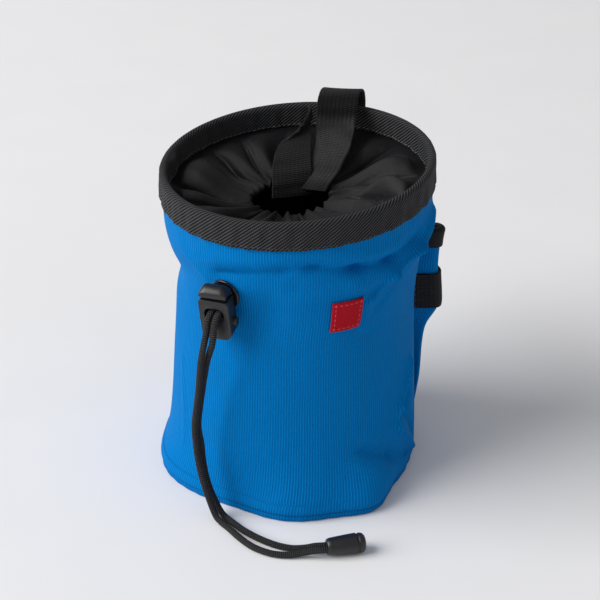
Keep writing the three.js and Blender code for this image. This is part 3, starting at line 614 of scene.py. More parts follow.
# Creases: from an angle in degrees and a height in millimetres to another, then the half width,
# the depth inward and the lip beside it in millimetres
wall_creases = [
    (-124, 119, -97, 125.0, 3.2, 2.5, 0.5),
    (-97, 125.0, -84, 126.5, 3.4, 3.4, 0.6),
    (-84, 126.5, -64, 123.0, 3.4, 5.0, 0.9),
    (-64, 123.0, -46, 122.0, 3.4, 5.0, 0.9),
    (-46, 122.0, -30, 126.0, 3.0, 4.0, 0.6),
    (-12, 131, -30, 121, 2.4, -4.4, 0.0),
    (-30, 121, -45, 114, 2.4, -4.8, 0.0),
    (-45, 114, -56, 105, 2.2, -4.0, 0.0),
    (-56, 105, -56, 92, 2.0, -2.2, 0.0),
    (-48, 100, -36, 110, 4.0, 1.6, 0.0),
    (-148, 123, -134, 114, 2.4, -1.2, 0.0),
    (-20, 57, -32, 40, 2.2, -3.6, 0.0),
    (-32, 40, -33, 30, 2.2, -3.4, 0.0),
    (-33, 30, -15, 10, 2.4, -3.0, 0.0),
    (-16, 50, -24, 34, 2.6, 4.0, 0.4),
    (-24, 34, -12, 16, 2.4, 3.0, 0.3),
    (-56, 27, -38, 17, 3.0, 3.0, 0.6),
    (-38, 17, -20, 9, 3.0, 2.6, 0.4),
    (-150, 24, -156, 60, 3.0, -1.2, 0.2),
    (150, 110, 118, 96, 4.0, 3.0, 0.5),
    (80, 118, 50, 104, 4.0, 2.7, 0.5),
    (130, 30, 100, 22, 4.0, 2.4, 0.4),
    (60, 34, 78, 20, 3.4, 2.1, 0.4),
]


def smooth_column(sections, column, share):
    """A column's value at shares of the way, on a smooth curve through the sections."""
    ups = np.array(list(sections))
    values = np.array([row[column] for row in sections.values()])
    share = np.asarray(share, dtype=float)
    index = np.clip(np.searchsorted(ups, share, side="right") - 1, 0, len(ups) - 2)
    before, after = np.maximum(index - 1, 0), np.minimum(index + 2, len(ups) - 1)
    gap = ups[index + 1] - ups[index]
    t = np.clip((share - ups[index]) / gap, 0.0, 1.0)
    start_slope = (values[index + 1] - values[before]) / (ups[index + 1] - ups[before]) * gap
    end_slope = (values[after] - values[index]) / (ups[after] - ups[index]) * gap
    return ((2 * t ** 3 - 3 * t ** 2 + 1) * values[index] + (t ** 3 - 2 * t ** 2 + t) * start_slope
            + (3 * t ** 2 - 2 * t ** 3) * values[index + 1] + (t ** 3 - t ** 2) * end_slope)


def ease(value, low, high):
    """A smooth step from 0 at low to 1 at high."""
    t = np.clip((value - low) / (high - low), 0.0, 1.0)
    return t * t * (3 - 2 * t)


def angle_gap(degrees, middle):
    """Degrees from a middle angle, within half a turn."""
    return (degrees - middle + 180.0) % 360.0 - 180.0


def mouth_top(angle):
    """Height of the mouth's edge, which is higher on the right."""
    return BAG_HEIGHT + MOUTH_TILT * MOUTH_RADIUS * np.cos(angle)


def crease_depth(degrees, height):
    """Depth of the sharper folds at angles and heights."""
    depth = np.zeros(np.broadcast(degrees, height).shape)
    arc = MOUTH_RADIUS * 1000 * math.pi / 180
    for from_angle, from_height, to_angle, to_height, half_width, inward, lip in wall_creases:
        run = np.array([(to_angle - from_angle) * arc, to_height - from_height])
        length = np.linalg.norm(run)
        across = angle_gap(degrees, from_angle) * arc
        up = height * 1000 - from_height
        along = (across * run[0] + up * run[1]) / length
        beside = (across * run[1] - up * run[0]) / length
        beyond = np.maximum(np.maximum(-along, along - length), 0.0)
        fade = np.exp(-(beyond / (1.5 * half_width)) ** 2)
        sharp = np.exp(-np.sqrt((beside / half_width) ** 2 + 0.06) * 1.5)
        beside_lip = np.exp(-((np.abs(beside) - 2.2 * half_width) / (1.2 * half_width)) ** 2)
        depth += fade * (inward * sharp - lip * beside_lip) * 0.001
    return depth


def wall_point(angle, down, offset, creased=True):
    """Points of the wall's outer face moved out by an offset, measured down from the mouth."""
    top = mouth_top(angle)
    height = top - down
    up = np.clip((height - SEAM_HEIGHT) / (top - SEAM_HEIGHT), 0.0, 1.0)
    degrees = np.degrees(angle)
    depth = np.zeros(np.broadcast(angle, down).shape)
    for middle, half_width, at, half_height, share, slant in wall_dents:
        across = angle_gap(degrees, middle)
        rise = up - at - slant * across
        depth += share * np.exp(-(across / half_width) ** 2 - (rise / half_height) ** 2)
    depth *= WALL_RADIUS
    if creased:
        depth += crease_depth(degrees, height)
    depth *= ease(down, 0.6 * BINDING_OUTSIDE, 2.2 * BINDING_OUTSIDE)
    radius = smooth_column(wall_sections, 0, up) * WALL_RADIUS - depth + offset
    return np.stack(np.broadcast_arrays(
        smooth_column(wall_sections, 1, up) * MOUTH_LEAN_X + radius * np.cos(angle),
        smooth_column(wall_sections, 2, up) * MOUTH_LEAN_Y + radius * np.sin(angle),
        height), axis=-1)


WALL_COLUMNS = 420
wall_angles = np.arange(WALL_COLUMNS) / WALL_COLUMNS * 2 * math.pi
wall_rows = 170
wall_share = np.linspace(0.0, 1.0, wall_rows)
wall_low = SEAM_HEIGHT - 0.0006
wall_heights = wall_low + wall_share[None, :] * (
    mouth_top(wall_angles)[:, None] - TAPE_THICKNESS - CLEARANCE - wall_low)
wall_down = mouth_top(wall_angles)[:, None] - wall_heights
SEAM_TUCK = 0.0010
SEAM_TUCK_HEIGHT = 0.0016
tuck = -SEAM_TUCK * (1 - ease(wall_heights, wall_low, wall_low + SEAM_TUCK_HEIGHT))
wall_outside = wall_point(wall_angles[:, None], wall_down, tuck)
wall_inside = wall_point(wall_angles[:, None], wall_down, -WALL_CLOTH)
wall_points = np.concatenate([wall_outside, wall_inside[:, ::-1]], axis=1)
around = np.arange(WALL_COLUMNS + 1) / WALL_COLUMNS * 2 * math.pi * WALL_RADIUS
wall_way = np.concatenate([wall_share, wall_share[::-1], wall_share[:1]]) * BAG_HEIGHT
cloth_v, cloth_u = np.meshgrid(wall_way, around)
wall_slots = np.zeros(wall_points.shape[:2], dtype=int)
wall_slots[:, wall_rows:] = 1
wall = cloth_piece("cloth_wall", wall_points, cloth_u, cloth_v, closed_along=True, closed_across=True,
                   slots=wall_slots)

ribbed, start, end = effect("ribbed_cloth", {"Ribs per metre": 760.0, "Threads per metre": 2100.0})
around_way, up_way = split_cloth(ribbed, start)
wander = noise_at(ribbed, start.outputs["Cloth"], 60.0, 2.0)
rib_place = reckon(ribbed, "ADD", reckon(ribbed, "MULTIPLY", around_way, start.outputs["Ribs per metre"]),
                   reckon(ribbed, "MULTIPLY", wander, 0.6))
rib = raised_wave(ribbed, rib_place)
weft = raised_wave(ribbed, reckon(ribbed, "MULTIPLY", up_way, start.outputs["Threads per metre"]))
warp = raised_wave(ribbed, reckon(ribbed, "MULTIPLY", around_way, start.outputs["Threads per metre"]))
threads = reckon(ribbed, "MULTIPLY", weft, warp)
ribbed.links.new(reckon(ribbed, "MULTIPLY_ADD", threads, 0.25, reckon(ribbed, "POWER", rib, 1.6)),
                 end.inputs["Height"])
# The shade is half random uneven tone and half the rib wave, which paints shade between the ribs.
uneven = noise_at(ribbed, start.outputs["Cloth"], 900.0, 3.0)
ribbed.links.new(reckon(ribbed, "MULTIPLY_ADD", uneven, 0.5, reckon(ribbed, "MULTIPLY", rib, 0.5)),
                 end.inputs["Shade"])


def ribbed_blue(name, dark, light):
    """Matt ribbed cloth with painted shade between its ribs and a random uneven tone."""
    material, tree, shader = finish_of(name, {"Specular IOR Level": 0.03})
    weave = place_effect(tree, ribbed)
    blend_colours(tree, shader, weave.outputs["Shade"], dark, light)
    vary_roughness(tree, shader, mottle(tree, 0.012), 0.55, 0.72)
    raise_relief(tree, shader, [(weave.outputs["Height"], 0.00016), (mottle(tree, 0.009), 0.0006)])
    return material


blue_cloth = ribbed_blue("blue_cloth", (0.000, 0.105, 0.33), (0.000, 0.215, 0.61))

smooth_cloth, start, end = effect("smooth_cloth", {"Threads per metre": 2600.0})
around_way, up_way = split_cloth(smooth_cloth, start)
weft = wave(smooth_cloth, reckon(smooth_cloth, "MULTIPLY", up_way, start.outputs["Threads per metre"]))
warp = wave(smooth_cloth, reckon(smooth_cloth, "MULTIPLY", around_way, start.outputs["Threads per metre"]))
smooth_cloth.links.new(reckon(smooth_cloth, "MULTIPLY", weft, warp), end.inputs["Height"])
smooth_cloth.links.new(noise_at(smooth_cloth, start.outputs["Cloth"], 240.0, 4.0), end.inputs["Shade"])


def soft_black(name, dark, light, roughness, wrinkle):
    """Fine black cloth with a faint sheen and wrinkles of a depth."""
    material, tree, shader = finish_of(name, {"Sheen Weight": 0.02, "Sheen Roughness": 0.45,
                                              "Specular IOR Level": 0.22})
    weave = place_effect(tree, smooth_cloth)
    blend_colours(tree, shader, weave.outputs["Shade"], dark, light)
    vary_roughness(tree, shader, weave.outputs["Shade"], roughness - 0.08, roughness + 0.08)
    raise_relief(tree, shader, [(weave.outputs["Height"], 0.00003), (mottle(tree, 0.006), wrinkle)])
    return material


lining = soft_black("black_lining", (0.003, 0.003, 0.003), (0.006, 0.006, 0.007), 0.7, 0.0003)
wall.data.materials.append(blue_cloth)
wall.data.materials.append(lining)
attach(wall, "bag")
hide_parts("shell")


# Base: a round panel of the same cloth with a piped edge under the wall's seam.
BASE_CLOTH = 0.0016
BASE_ROUND = 0.0024
base_profile = []
for step in range(9):
    bend = math.pi * step / 8
    base_profile.append((-0.0008 - BASE_ROUND * 0.55 * (1 - math.sin(bend)),
                         0.0019 - 0.0019 * math.cos(bend)))
base_inside = -WALL_CLOTH - CLEARANCE
base_profile += [(base_inside, 0.0038), (base_inside, 0.0090), (base_inside - BASE_CLOTH, 0.0090),
                 (base_inside - BASE_CLOTH, 0.0024), (-0.012, BASE_CLOTH), (-0.035, BASE_CLOTH),
                 (-0.058, BASE_CLOTH), (-0.058, 0.0), (-0.035, 0.0), (-0.012, 0.0)]
base_profile = np.array(base_profile)
base_angles = wall_angles[:, None]
base_height = np.repeat(base_profile[None, :, 1], WALL_COLUMNS, axis=0)
base_pull = 0.0001 * np.cos(46 * base_angles + 1.4 * np.sin(5 * base_angles))
base_pull = base_pull * (base_profile[None, :, 1] < 0.0037) * (base_profile[None, :, 0] > -0.006)
base_points = wall_point(base_angles, mouth_top(base_angles) - SEAM_HEIGHT,
                         base_profile[None, :, 0] + base_pull)
base_points[..., 2] = base_height
base_way = np.concatenate([[0.0], np.cumsum(np.linalg.norm(np.diff(
    np.vstack([base_profile, base_profile[:1]]), axis=0), axis=1))])
cloth_v, cloth_u = np.meshgrid(base_way, around)
base = cloth_piece("cloth_base", base_points, cloth_u, cloth_v, closed_along=True, closed_across=True)
# The base's colours are a darker copy of the wall's blue cloth, painted shade low by the floor.
base.data.materials.append(ribbed_blue("base_cloth", (0.000, 0.095, 0.31), (0.000, 0.185, 0.53)))
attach(base, "bag")
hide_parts("base_panel")


# Mouth binding: twill tape folded over the wall's top edge and stitched through near both
# of its lower edges. On the left side it is pinched in where its ends meet, and the wall shows.
TAPE_TURN = 0.0019
TAPE_CORNER = 0.0003


def row_profile(corners, steps):
    """Points an even way apart along straight runs between corners."""
    corners = np.asarray(corners, dtype=float)
    way = np.concatenate([[0.0], np.cumsum(np.linalg.norm(np.diff(corners, axis=0), axis=1))])
    even = np.linspace(0.0, way[-1], steps)
    return np.stack([np.interp(even, way, corners[:, axis]) for axis in range(2)], axis=1), even


tape_out = TAPE_THICKNESS + CLEARANCE
tape_in = -WALL_CLOTH - CLEARANCE - TAPE_THICKNESS
tape_middle = 0.5 * (tape_out + tape_in)


def tape_arch(radius, bends):
    """The tape's turn over the wall's edge, at a radius about the middle of the wall."""
    return [(tape_middle + radius * math.cos(bend), TAPE_TURN - radius * math.sin(bend)) for bend in bends]


tape_corners = ([(CLEARANCE, BINDING_OUTSIDE - TAPE_CORNER), (CLEARANCE + TAPE_CORNER, BINDING_OUTSIDE),
                 (tape_out - TAPE_CORNER, BINDING_OUTSIDE), (tape_out, BINDING_OUTSIDE - TAPE_CORNER)]
                + tape_arch(TAPE_TURN, np.linspace(0.0, math.pi, 11))
                + [(tape_in, BINDING_INSIDE - TAPE_CORNER), (tape_in + TAPE_CORNER, BINDING_INSIDE),
                   (tape_in + TAPE_THICKNESS - TAPE_CORNER, BINDING_INSIDE),
                   (tape_in + TAPE_THICKNESS, BINDING_INSIDE - TAPE_CORNER)]
                + tape_arch(TAPE_TURN - TAPE_THICKNESS, np.linspace(math.pi, 0.0, 7))
                + [(CLEARANCE, BINDING_OUTSIDE - TAPE_CORNER)])
tape_profile, tape_way = row_profile(tape_corners, 97)


def tape_wave(angle, down):
    """Small waves of the stitched tape along its length."""
    ripple = (0.00022 * np.sin(31 * angle + 2.0 * np.sin(3 * angle) + 260 * down)
              + 0.00016 * np.sin(57 * angle + 1.3 * np.sin(7 * angle)))
    kink = 0.0016 * np.exp(-(angle_gap(np.degrees(angle), 168) / 5.0) ** 2) * (down > 0.001)
    return ripple * np.clip(down / 0.006, 0, 1) - kink


tape_down = np.broadcast_to(tape_profile[None, :-1, 1], (WALL_COLUMNS, len(tape_profile) - 1))
tape_points = wall_point(wall_angles[:, None], tape_down,
                         tape_profile[None, :-1, 0] + tape_wave(wall_angles[:, None], tape_down),
                         creased=False)
tape_around = np.arange(WALL_COLUMNS + 1) / WALL_COLUMNS * 2 * math.pi * MOUTH_RADIUS
cloth_v, cloth_u = np.meshgrid(tape_way, tape_around)
binding = cloth_piece("mouth_binding", tape_points, cloth_u, cloth_v, closed_along=True,
                      closed_across=True)

twill, start, end = effect("twill_tape", {"Ridge pitch": 0.00125, "Thread pitch": 0.0010,
                                          "Lean": math.radians(38)})
along_way, across_way = split_cloth(twill, start)
lean_sine = reckon(twill, "SINE", start.outputs["Lean"])
lean_cosine = reckon(twill, "COSINE", start.outputs["Lean"])
over_ridges = reckon(twill, "SUBTRACT", reckon(twill, "MULTIPLY", along_way, lean_sine),
                     reckon(twill, "MULTIPLY", across_way, lean_cosine))
along_ridge = reckon(twill, "ADD", reckon(twill, "MULTIPLY", along_way, lean_cosine),
                     reckon(twill, "MULTIPLY", across_way, lean_sine))
ridge_place = reckon(twill, "DIVIDE", over_ridges, start.outputs["Ridge pitch"])
ridge = raised_wave(twill, ridge_place)
bead = raised_wave(twill, reckon(
    twill, "MULTIPLY_ADD", reckon(twill, "FLOOR", ridge_place), 0.5,
    reckon(twill, "DIVIDE", along_ridge, start.outputs["Thread pitch"])))
twill.links.new(reckon(twill, "MULTIPLY_ADD", bead, 0.35, ridge), end.inputs["Height"])
# Painted highlight and shade: the shade is light on the twill's ridges and dark in the gaps between them,
# as light falls on the black tape.
twill.links.new(reckon(twill, "MULTIPLY", reckon(twill, "POWER", ridge, 1.7), reckon(
    twill, "MULTIPLY_ADD", bead, 0.55, 0.45)), end.inputs["Shade"])

binding_tape, tree, shader = finish_of("binding_tape", {"Sheen Weight": 0.02, "Sheen Roughness": 0.5,
                                                        "Specular IOR Level": 0.12})
weave = place_effect(tree, twill)
# The light colour paints highlights on the tape's ridges and the dark colour paints shade between them.
blend_colours(tree, shader, weave.outputs["Shade"], (0.004, 0.004, 0.005), (0.085, 0.087, 0.093))
vary_roughness(tree, shader, mottle(tree, 0.003), 0.6, 0.8)
raise_relief(tree, shader, [(weave.outputs["Height"], 0.00035), (mottle(tree, 0.005), 0.0004)])
binding.data.materials.append(binding_tape)
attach(binding, "bag")
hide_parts("rim_binding")


STITCH_LENGTH = 0.0017
STITCH_THICKNESS = 0.00034


def stitch_run(name, centres, outward, length=STITCH_LENGTH, thickness=STITCH_THICKNESS):
    """Stitches as one mesh: a small rounded loop of thread at each centre, along the run."""
    centres = np.asarray(centres)
    outward = np.asarray(outward)
    along = np.roll(centres, -1, axis=0) - np.roll(centres, 1, axis=0)
    along[0] = centres[1] - centres[0]
    along[-1] = centres[-1] - centres[-2]
    along /= np.linalg.norm(along, axis=1)[:, None]
    outward = outward - along * (outward * along).sum(axis=1)[:, None]
    outward /= np.linalg.norm(outward, axis=1)[:, None]
    across = np.cross(along, outward)
    points, faces = [], []
    sides, rings, sunk = 8, 7, 0.35
    for centre, way, out, side in zip(centres, along, outward, across):
        first = len(points)
        for index in range(rings):
            t = -1 + 2 * index / (rings - 1)
            radius = thickness / 2 * max(math.sqrt(max(1 - abs(t) ** 3.0, 0.0)), 0.12)
            middle = centre + way * (t * length / 2) + out * thickness * (0.5 * (1 - t * t) - sunk)
            for turn in range(sides):
                angle = 2 * math.pi * turn / sides
                points.append(middle + radius * (math.cos(angle) * side + math.sin(angle) * out))
        for index in range(rings - 1):
            for turn in range(sides):
                a, b = first + index * sides + turn, first + index * sides + (turn + 1) % sides
                faces.append((a, b, b + sides, a + sides))
        faces.append(tuple(first + turn for turn in reversed(range(sides))))
        faces.append(tuple(first + (rings - 1) * sides + turn for turn in range(sides)))
    mesh = bpy.data.meshes.new(name)
    mesh.from_pydata([tuple(point) for point in points], [], faces)
    mesh.polygons.foreach_set("use_smooth", np.ones(len(faces), dtype=bool))
    mesh.uv_layers.new(name="cloth")
    places = np.array([mesh.vertices[loop.vertex_index].co[:] for loop in mesh.loops])
    mesh.uv_layers["cloth"].data.foreach_set("uv", places[:, [0, 2]].astype(np.float32).ravel())
    turn_outward(mesh)
    stitches = bpy.data.objects.new(name, mesh)
    scene.collection.objects.link(stitches)
    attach(stitches, "bag")
    return stitches


thread, start, end = effect("sewing_thread", {"Twists per metre": 2600.0})
across_thread, along_thread = split_cloth(thread, start)
twist = raised_wave(thread, reckon(thread, "MULTIPLY", reckon(
    thread, "ADD", across_thread, along_thread), start.outputs["Twists per metre"]))
thread.links.new(twist, end.inputs["Height"])
thread.links.new(twist, end.inputs["Shade"])


def thread_finish(name, dark, light):
    """Twisted sewing thread."""
    material, tree, shader = finish_of(name, {"Sheen Weight": 0.2, "Specular IOR Level": 0.35})
    surface = place_effect(tree, thread)
    blend_colours(tree, shader, surface.outputs["Shade"], dark, light)
    vary_roughness(tree, shader, surface.outputs["Shade"], 0.45, 0.65)
    raise_relief(tree, shader, [(surface.outputs["Height"], 0.00004)])
    return material


pale_thread = thread_finish("pale_thread", (0.06, 0.06, 0.065), (0.16, 0.16, 0.17))
dark_thread = thread_finish("dark_thread", (0.018, 0.018, 0.020), (0.05, 0.05, 0.055))
red_thread = thread_finish("red_thread", (0.50, 0.04, 0.05), (0.75, 0.12, 0.13))


def ring_stitches(name, down, offset, inward, finish):
    """One round of stitches through the binding, on its inner or outer face."""
    count = 150
    angles = np.arange(count) / count * 2 * math.pi
    centres = wall_point(angles, np.full(count, down) + 0.0003 * np.sin(4 * angles),
                         offset + tape_wave(angles, np.full(count, down)), creased=False)
    facing = np.stack([np.cos(angles), np.sin(angles), np.zeros(count)], axis=-1)
    stitches = stitch_run(name, centres, -facing if inward else facing)
    stitches.data.materials.append(finish)


ring_stitches("binding_stitches_inside", BINDING_INSIDE - 0.0013, tape_in, True, pale_thread)
ring_stitches("binding_stitches_outside", BINDING_OUTSIDE - 0.0014, tape_out, False, dark_thread)


# Closure: a soft black cloth ring sewn under the binding and gathered on a cord casing round the
# hand hole, so it puffs up between sharp folds and puckers at the rolled hem.
SKIRT_CLOTH = 0.0009
HOLE_RADIUS_X = 0.018
HOLE_RADIUS_Y = 0.0167
HOLE_SHIFT_X = -0.0029
HOLE_SHIFT_Y = -0.0014
HEM_DROP = 0.0195
HEM_ROLL = 0.0019

# Folds between puffs: angle at the binding and at the hem in degrees, then the height of the
# puff up to the next fold as a share of the hem's drop, and how far in its top lies. The puffs
# lean over towards the front, where their folds are steep.
skirt_valleys = [
    (-170, -158, 0.36, 0.50),
    (-141, -132, 0.30, 0.55),
    (-112, -108, 0.30, 0.50),
    (-84, -80, 0.32, 0.50),
    (-56, -40, 0.36, 0.50),
    (-33, -6, 0.46, 0.46),
    (-2, 12, 0.46, 0.46),
    (34, 40, 0.26, 0.50),
    (62, 72, 0.22, 0.50),
    (92, 102, 0.30, 0.50),
    (118, 120, 0.26, 0.50),
    (137, 136, 0.48, 0.46),
    (173, 190, 0.32, 0.44),
]


def skirt_rise(degrees, share):
    """Height of the skirt above the straight line from the binding to the hem."""
    rise = np.zeros(np.broadcast(degrees, share).shape)
    for index, (outer, inner, height, top) in enumerate(skirt_valleys):
        next_outer, next_inner = skirt_valleys[(index + 1) % len(skirt_valleys)][:2]
        bow = 2.0 * np.sin(math.pi * share) * math.sin(1.7 * index)
        low = outer + (inner - outer) * share + bow
        outer_width = (next_outer - outer) % 360
        width = outer_width + ((next_inner - inner) % 360 - outer_width) * share
        t = ((degrees - low) % 360) / width
        lean = 0.55 if -80 < outer < 60 else 1.9
        t = np.clip(t, 0, 1) ** lean + (t > 1)
        if -60 < outer < 60:
            puff = np.where(t < 1, 1.25 * (1 - np.abs(2 * t - 1) ** 1.15), 0.0)
        else:
            puff = np.where(t < 1, 1.2 * np.abs(np.sin(math.pi * np.clip(t, 0, 1))) ** 0.5, 0.0)
        along = np.exp(-((share - top) / 0.36) ** 2)
        rise += height * puff * along
    rise -= 0.26 * np.exp(-((share - 0.60) / 0.30) ** 2)
    angle = np.radians(degrees)
    pleats = (0.050 * np.cos(17 * angle + 2.6 * np.sin(3 * angle)) * np.exp(-((share - 0.72) / 0.28) ** 2)
              + 0.024 * np.cos(29 * angle + 3.0 * np.sin(5 * angle + 1)) * share ** 2)
    return (rise + pleats) * HEM_DROP * ease(share, 0.03, 0.22)


def hem_gather(angle, share):
    """Puckers of the rolled hem, uneven in width and depth."""
    turn = 27 * angle + 1.9 * np.sin(3 * angle + 0.4) + 1.1 * np.sin(5 * angle)
    small = 0.5 + 0.5 * np.sin(2 * angle + 0.8 * np.sin(3 * angle))
    fine = small * np.cos(1.7 * turn + 1.3 * np.sin(7 * angle))
    return (0.0007 * np.cos(turn) + 0.0002 * fine) * share ** 3


SKIRT_COLUMNS = 720
skirt_angles = np.arange(SKIRT_COLUMNS) / SKIRT_COLUMNS * 2 * math.pi
skirt_rows = 46
roll_rows = 12
angle = skirt_angles[:, None]
degrees = np.degrees(angle)


def skirt_grid(lift):
    """One face of the skirt, from under the binding to the start of the hem's roll."""
    share = np.linspace(0.0, 1.0, skirt_rows)[None, :]
    edge = wall_point(angle, np.full((1, 1), BINDING_INSIDE + CLEARANCE), -WALL_CLOTH - CLEARANCE,
                      creased=False)
    across_hole = HOLE_SHIFT_X + (HOLE_RADIUS_X + HEM_ROLL) * np.cos(angle)
    hem = np.stack([MOUTH_LEAN_X + across_hole,
                    MOUTH_LEAN_Y + HOLE_SHIFT_Y + (HOLE_RADIUS_Y + HEM_ROLL) * np.sin(angle),
                    BAG_HEIGHT + MOUTH_TILT * across_hole - HEM_DROP + HEM_ROLL], axis=-1)
    points = edge + (hem - edge) * share[..., None]
    rise = skirt_rise(degrees, share)
    points[..., 2] = (edge[..., 2] + (hem[..., 2] - edge[..., 2]) * share ** 1.4 + rise
                      + hem_gather(angle, share) + lift)
    swell = hem_gather(angle + 0.06, share)
    points[..., 0] += swell * np.cos(angle)
    points[..., 1] += swell * np.sin(angle)
    return points


skirt_top = skirt_grid(0.0)
skirt_under = skirt_grid(-SKIRT_CLOTH)
hem_edge = skirt_top[:, -1]
roll = np.linspace(0.0, math.pi, roll_rows + 2)[1:-1][None, :]
hem_facing = np.stack([np.cos(skirt_angles), np.sin(skirt_angles), np.zeros(SKIRT_COLUMNS)], axis=-1)
hem_roll = (hem_edge[:, None] - HEM_ROLL * np.sin(roll)[..., None] * hem_facing[:, None])
hem_roll[..., 2] -= (1 - np.cos(roll)) * HEM_ROLL * 0.9
skirt_points = np.concatenate([skirt_top, hem_roll, skirt_under[:, ::-1]], axis=1)
skirt_loop = np.concatenate([skirt_points, skirt_points[:, :1]], axis=1)
steps = np.linalg.norm(np.diff(skirt_loop, axis=1), axis=2)
skirt_way = np.concatenate([[0.0], np.cumsum(steps.mean(axis=0))])
skirt_around = np.arange(SKIRT_COLUMNS + 1) / SKIRT_COLUMNS * 2 * math.pi * 0.045
cloth_v, cloth_u = np.meshgrid(skirt_way, skirt_around)
skirt = cloth_piece("gathered_closure", skirt_points, cloth_u, cloth_v, closed_along=True,
                    closed_across=True)
black_cloth = soft_black("black_cloth", (0.0028, 0.0024, 0.0032), (0.0065, 0.0055, 0.0075),
                         0.46, 0.0004)
skirt.data.materials.append(black_cloth)
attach(skirt, "bag")
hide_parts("skirt")


# Straps: black webbing sewn under the mouth's binding. One strand stands up in a loop and folds
# over along a diagonal crease; the other lies flat into the gathered closure.
WEBBING_WIDTH = 0.018
WEBBING_THICKNESS = 0.0012

# Rows along the middle line: place in metres, turn of the width about +Z and tip of one edge
loop_rows = [
    (0.0276, 0.0659, 0.1385, -20, 0),
    (0.0276, 0.0663, 0.1470, -20, 0),
    (0.0274, 0.0662, 0.1536, -16, 0),
    (0.0266, 0.0636, 0.1582, -10, 0),
    (0.0246, 0.0592, 0.1598, -4, 0),
    (0.0234, 0.0550, 0.1584, 0, 0),
    (0.0228, 0.0530, 0.1550, -1, 0),
    (0.0225, 0.0508, 0.1508, -5, 2),
    (0.0220, 0.0462, 0.1472, -14, 6),
    (0.0212, 0.0394, 0.1452, -22, 9),
    (0.0204, 0.0324, 0.1432, -27, 10),
    (0.0178, 0.0256, 0.1410, -28, 10),
    (0.0150, 0.0196, 0.1380, -28, 8),
    (0.0114, 0.0152, 0.1350, -27, 6),
    (0.0086, 0.0126, 0.1316, -24, 4),
]
tail_rows = [
    (0.0093, 0.0538, 0.1500, 80, 0),
    (0.0088, 0.0520, 0.1484, 76, 0),
    (0.0066, 0.0470, 0.1462, 60, 0),
    (0.0038, 0.0398, 0.1446, 42, 0),
    (0.0024, 0.0304, 0.1428, 26, 0),
    (0.0018, 0.0214, 0.1398, 17, 0),
    (0.0018, 0.0156, 0.1362, 15, 0),
    (0.0018, 0.0128, 0.1322, 15, 0),
    (0.0018, 0.0122, 0.1282, 15, 0),
]


def strip_section(columns):
    """Places of a thin strip's closed section: shares of its width and of its thickness."""
    flat = np.linspace(-0.5, 0.5, columns)
    bend = np.linspace(math.pi / 2, -math.pi / 2, 7)[1:-1]
    top = [(across, 0.5) for across in flat]
    right = [(0.5 + 0.02 * math.cos(turn), 0.5 * math.sin(turn)) for turn in bend]
    bottom = [(across, -0.5) for across in flat[::-1]]
    left = [(-0.5 - 0.02 * math.cos(turn), -0.5 * math.sin(turn)) for turn in bend]
    return np.array(top + right + bottom + left)


def strip_piece(name, thickness, surface, columns, rows, cloth_width, cloth_length):
    """Cloth of even thickness with rounded edges on a surface given by shares across and along."""
    section = strip_section(columns)
    across, along = np.meshgrid(section[:, 0], np.linspace(-0.5, 0.5, rows))
    lift = np.broadcast_to(section[:, 1], across.shape)
    step = 0.004
    points = surface(across, along)
    normal = np.cross(surface(across + step, along) - surface(across - step, along),
                      surface(across, along + step) - surface(across, along - step))
    normal /= np.linalg.norm(normal, axis=-1)[..., None]
    points = points + normal * (lift * thickness)[..., None]
    span = np.concatenate([section[:, 0], section[:1, 0]]) * cloth_width
    cloth_u, cloth_v = np.meshgrid(span, np.linspace(0.0, cloth_length, rows))
    return cloth_piece(name, points, cloth_u, cloth_v, closed_across=True, capped=True)


def route_column(rows, column, share):
    """A value of a strap's route at shares of the way."""
    table = {index / (len(rows) - 1): (row[column],) for index, row in enumerate(rows)}
    return smooth_column(table, 0, share)


def strap_surface(rows, across, along, crease=None):
    """A point of the webbing's middle surface; a crease lets one edge run ahead of the other."""
    share = along + 0.5
    if crease is not None:
        middle, reach, lead = crease
        share = share + lead * across * np.exp(-((share - middle) / reach) ** 2)
    within = np.clip(share, 0, 1)
    centre = np.stack([route_column(rows, column, within) for column in range(3)], axis=-1)
    ends = [np.array([row[:3] for row in pair]) for pair in (rows[:2], rows[-2:])]
    for beyond, pair in ((np.minimum(share, 0), ends[0]), (np.maximum(share - 1, 0), ends[1])):
        centre = centre + beyond[..., None] * (pair[1] - pair[0]) * (len(rows) - 1)
    turn = np.radians(route_column(rows, 3, within))
    tip = np.radians(route_column(rows, 4, within))
    width = np.stack([np.cos(turn) * np.cos(tip), np.sin(turn) * np.cos(tip), np.sin(tip)], axis=-1)
    back = np.stack([-np.sin(turn), np.cos(turn), np.zeros_like(turn)], axis=-1)
    edge_wave = 0.0003 * np.sin(23 * share + 2.0 * across) + 0.0002 * np.sin(51 * share + 1.0)
    points = centre + width * (across * WEBBING_WIDTH)[..., None]
    points = points + back * (edge_wave + 0.0016 * across ** 2)[..., None]
    return points


webbing, start, end = effect("ribbed_webbing", {"Ribs per metre": 1050.0, "Wales per metre": 520.0})
across_way, along_way = split_cloth(webbing, start)
rib_height = raised_wave(webbing, reckon(webbing, "MULTIPLY", along_way, start.outputs["Ribs per metre"]))
wale_wave = wave(webbing, reckon(webbing, "MULTIPLY", across_way, start.outputs["Wales per metre"]))
webbing.links.new(reckon(webbing, "MULTIPLY_ADD", wale_wave, 0.16, rib_height), end.inputs["Height"])
# Painted highlight: the shade is light on each rib and dark between the ribs, as light falls on the black
# webbing.
webbing.links.new(reckon(webbing, "MULTIPLY", rib_height, reckon(
    webbing, "MULTIPLY_ADD", wale_wave, 0.25, 0.75)), end.inputs["Shade"])


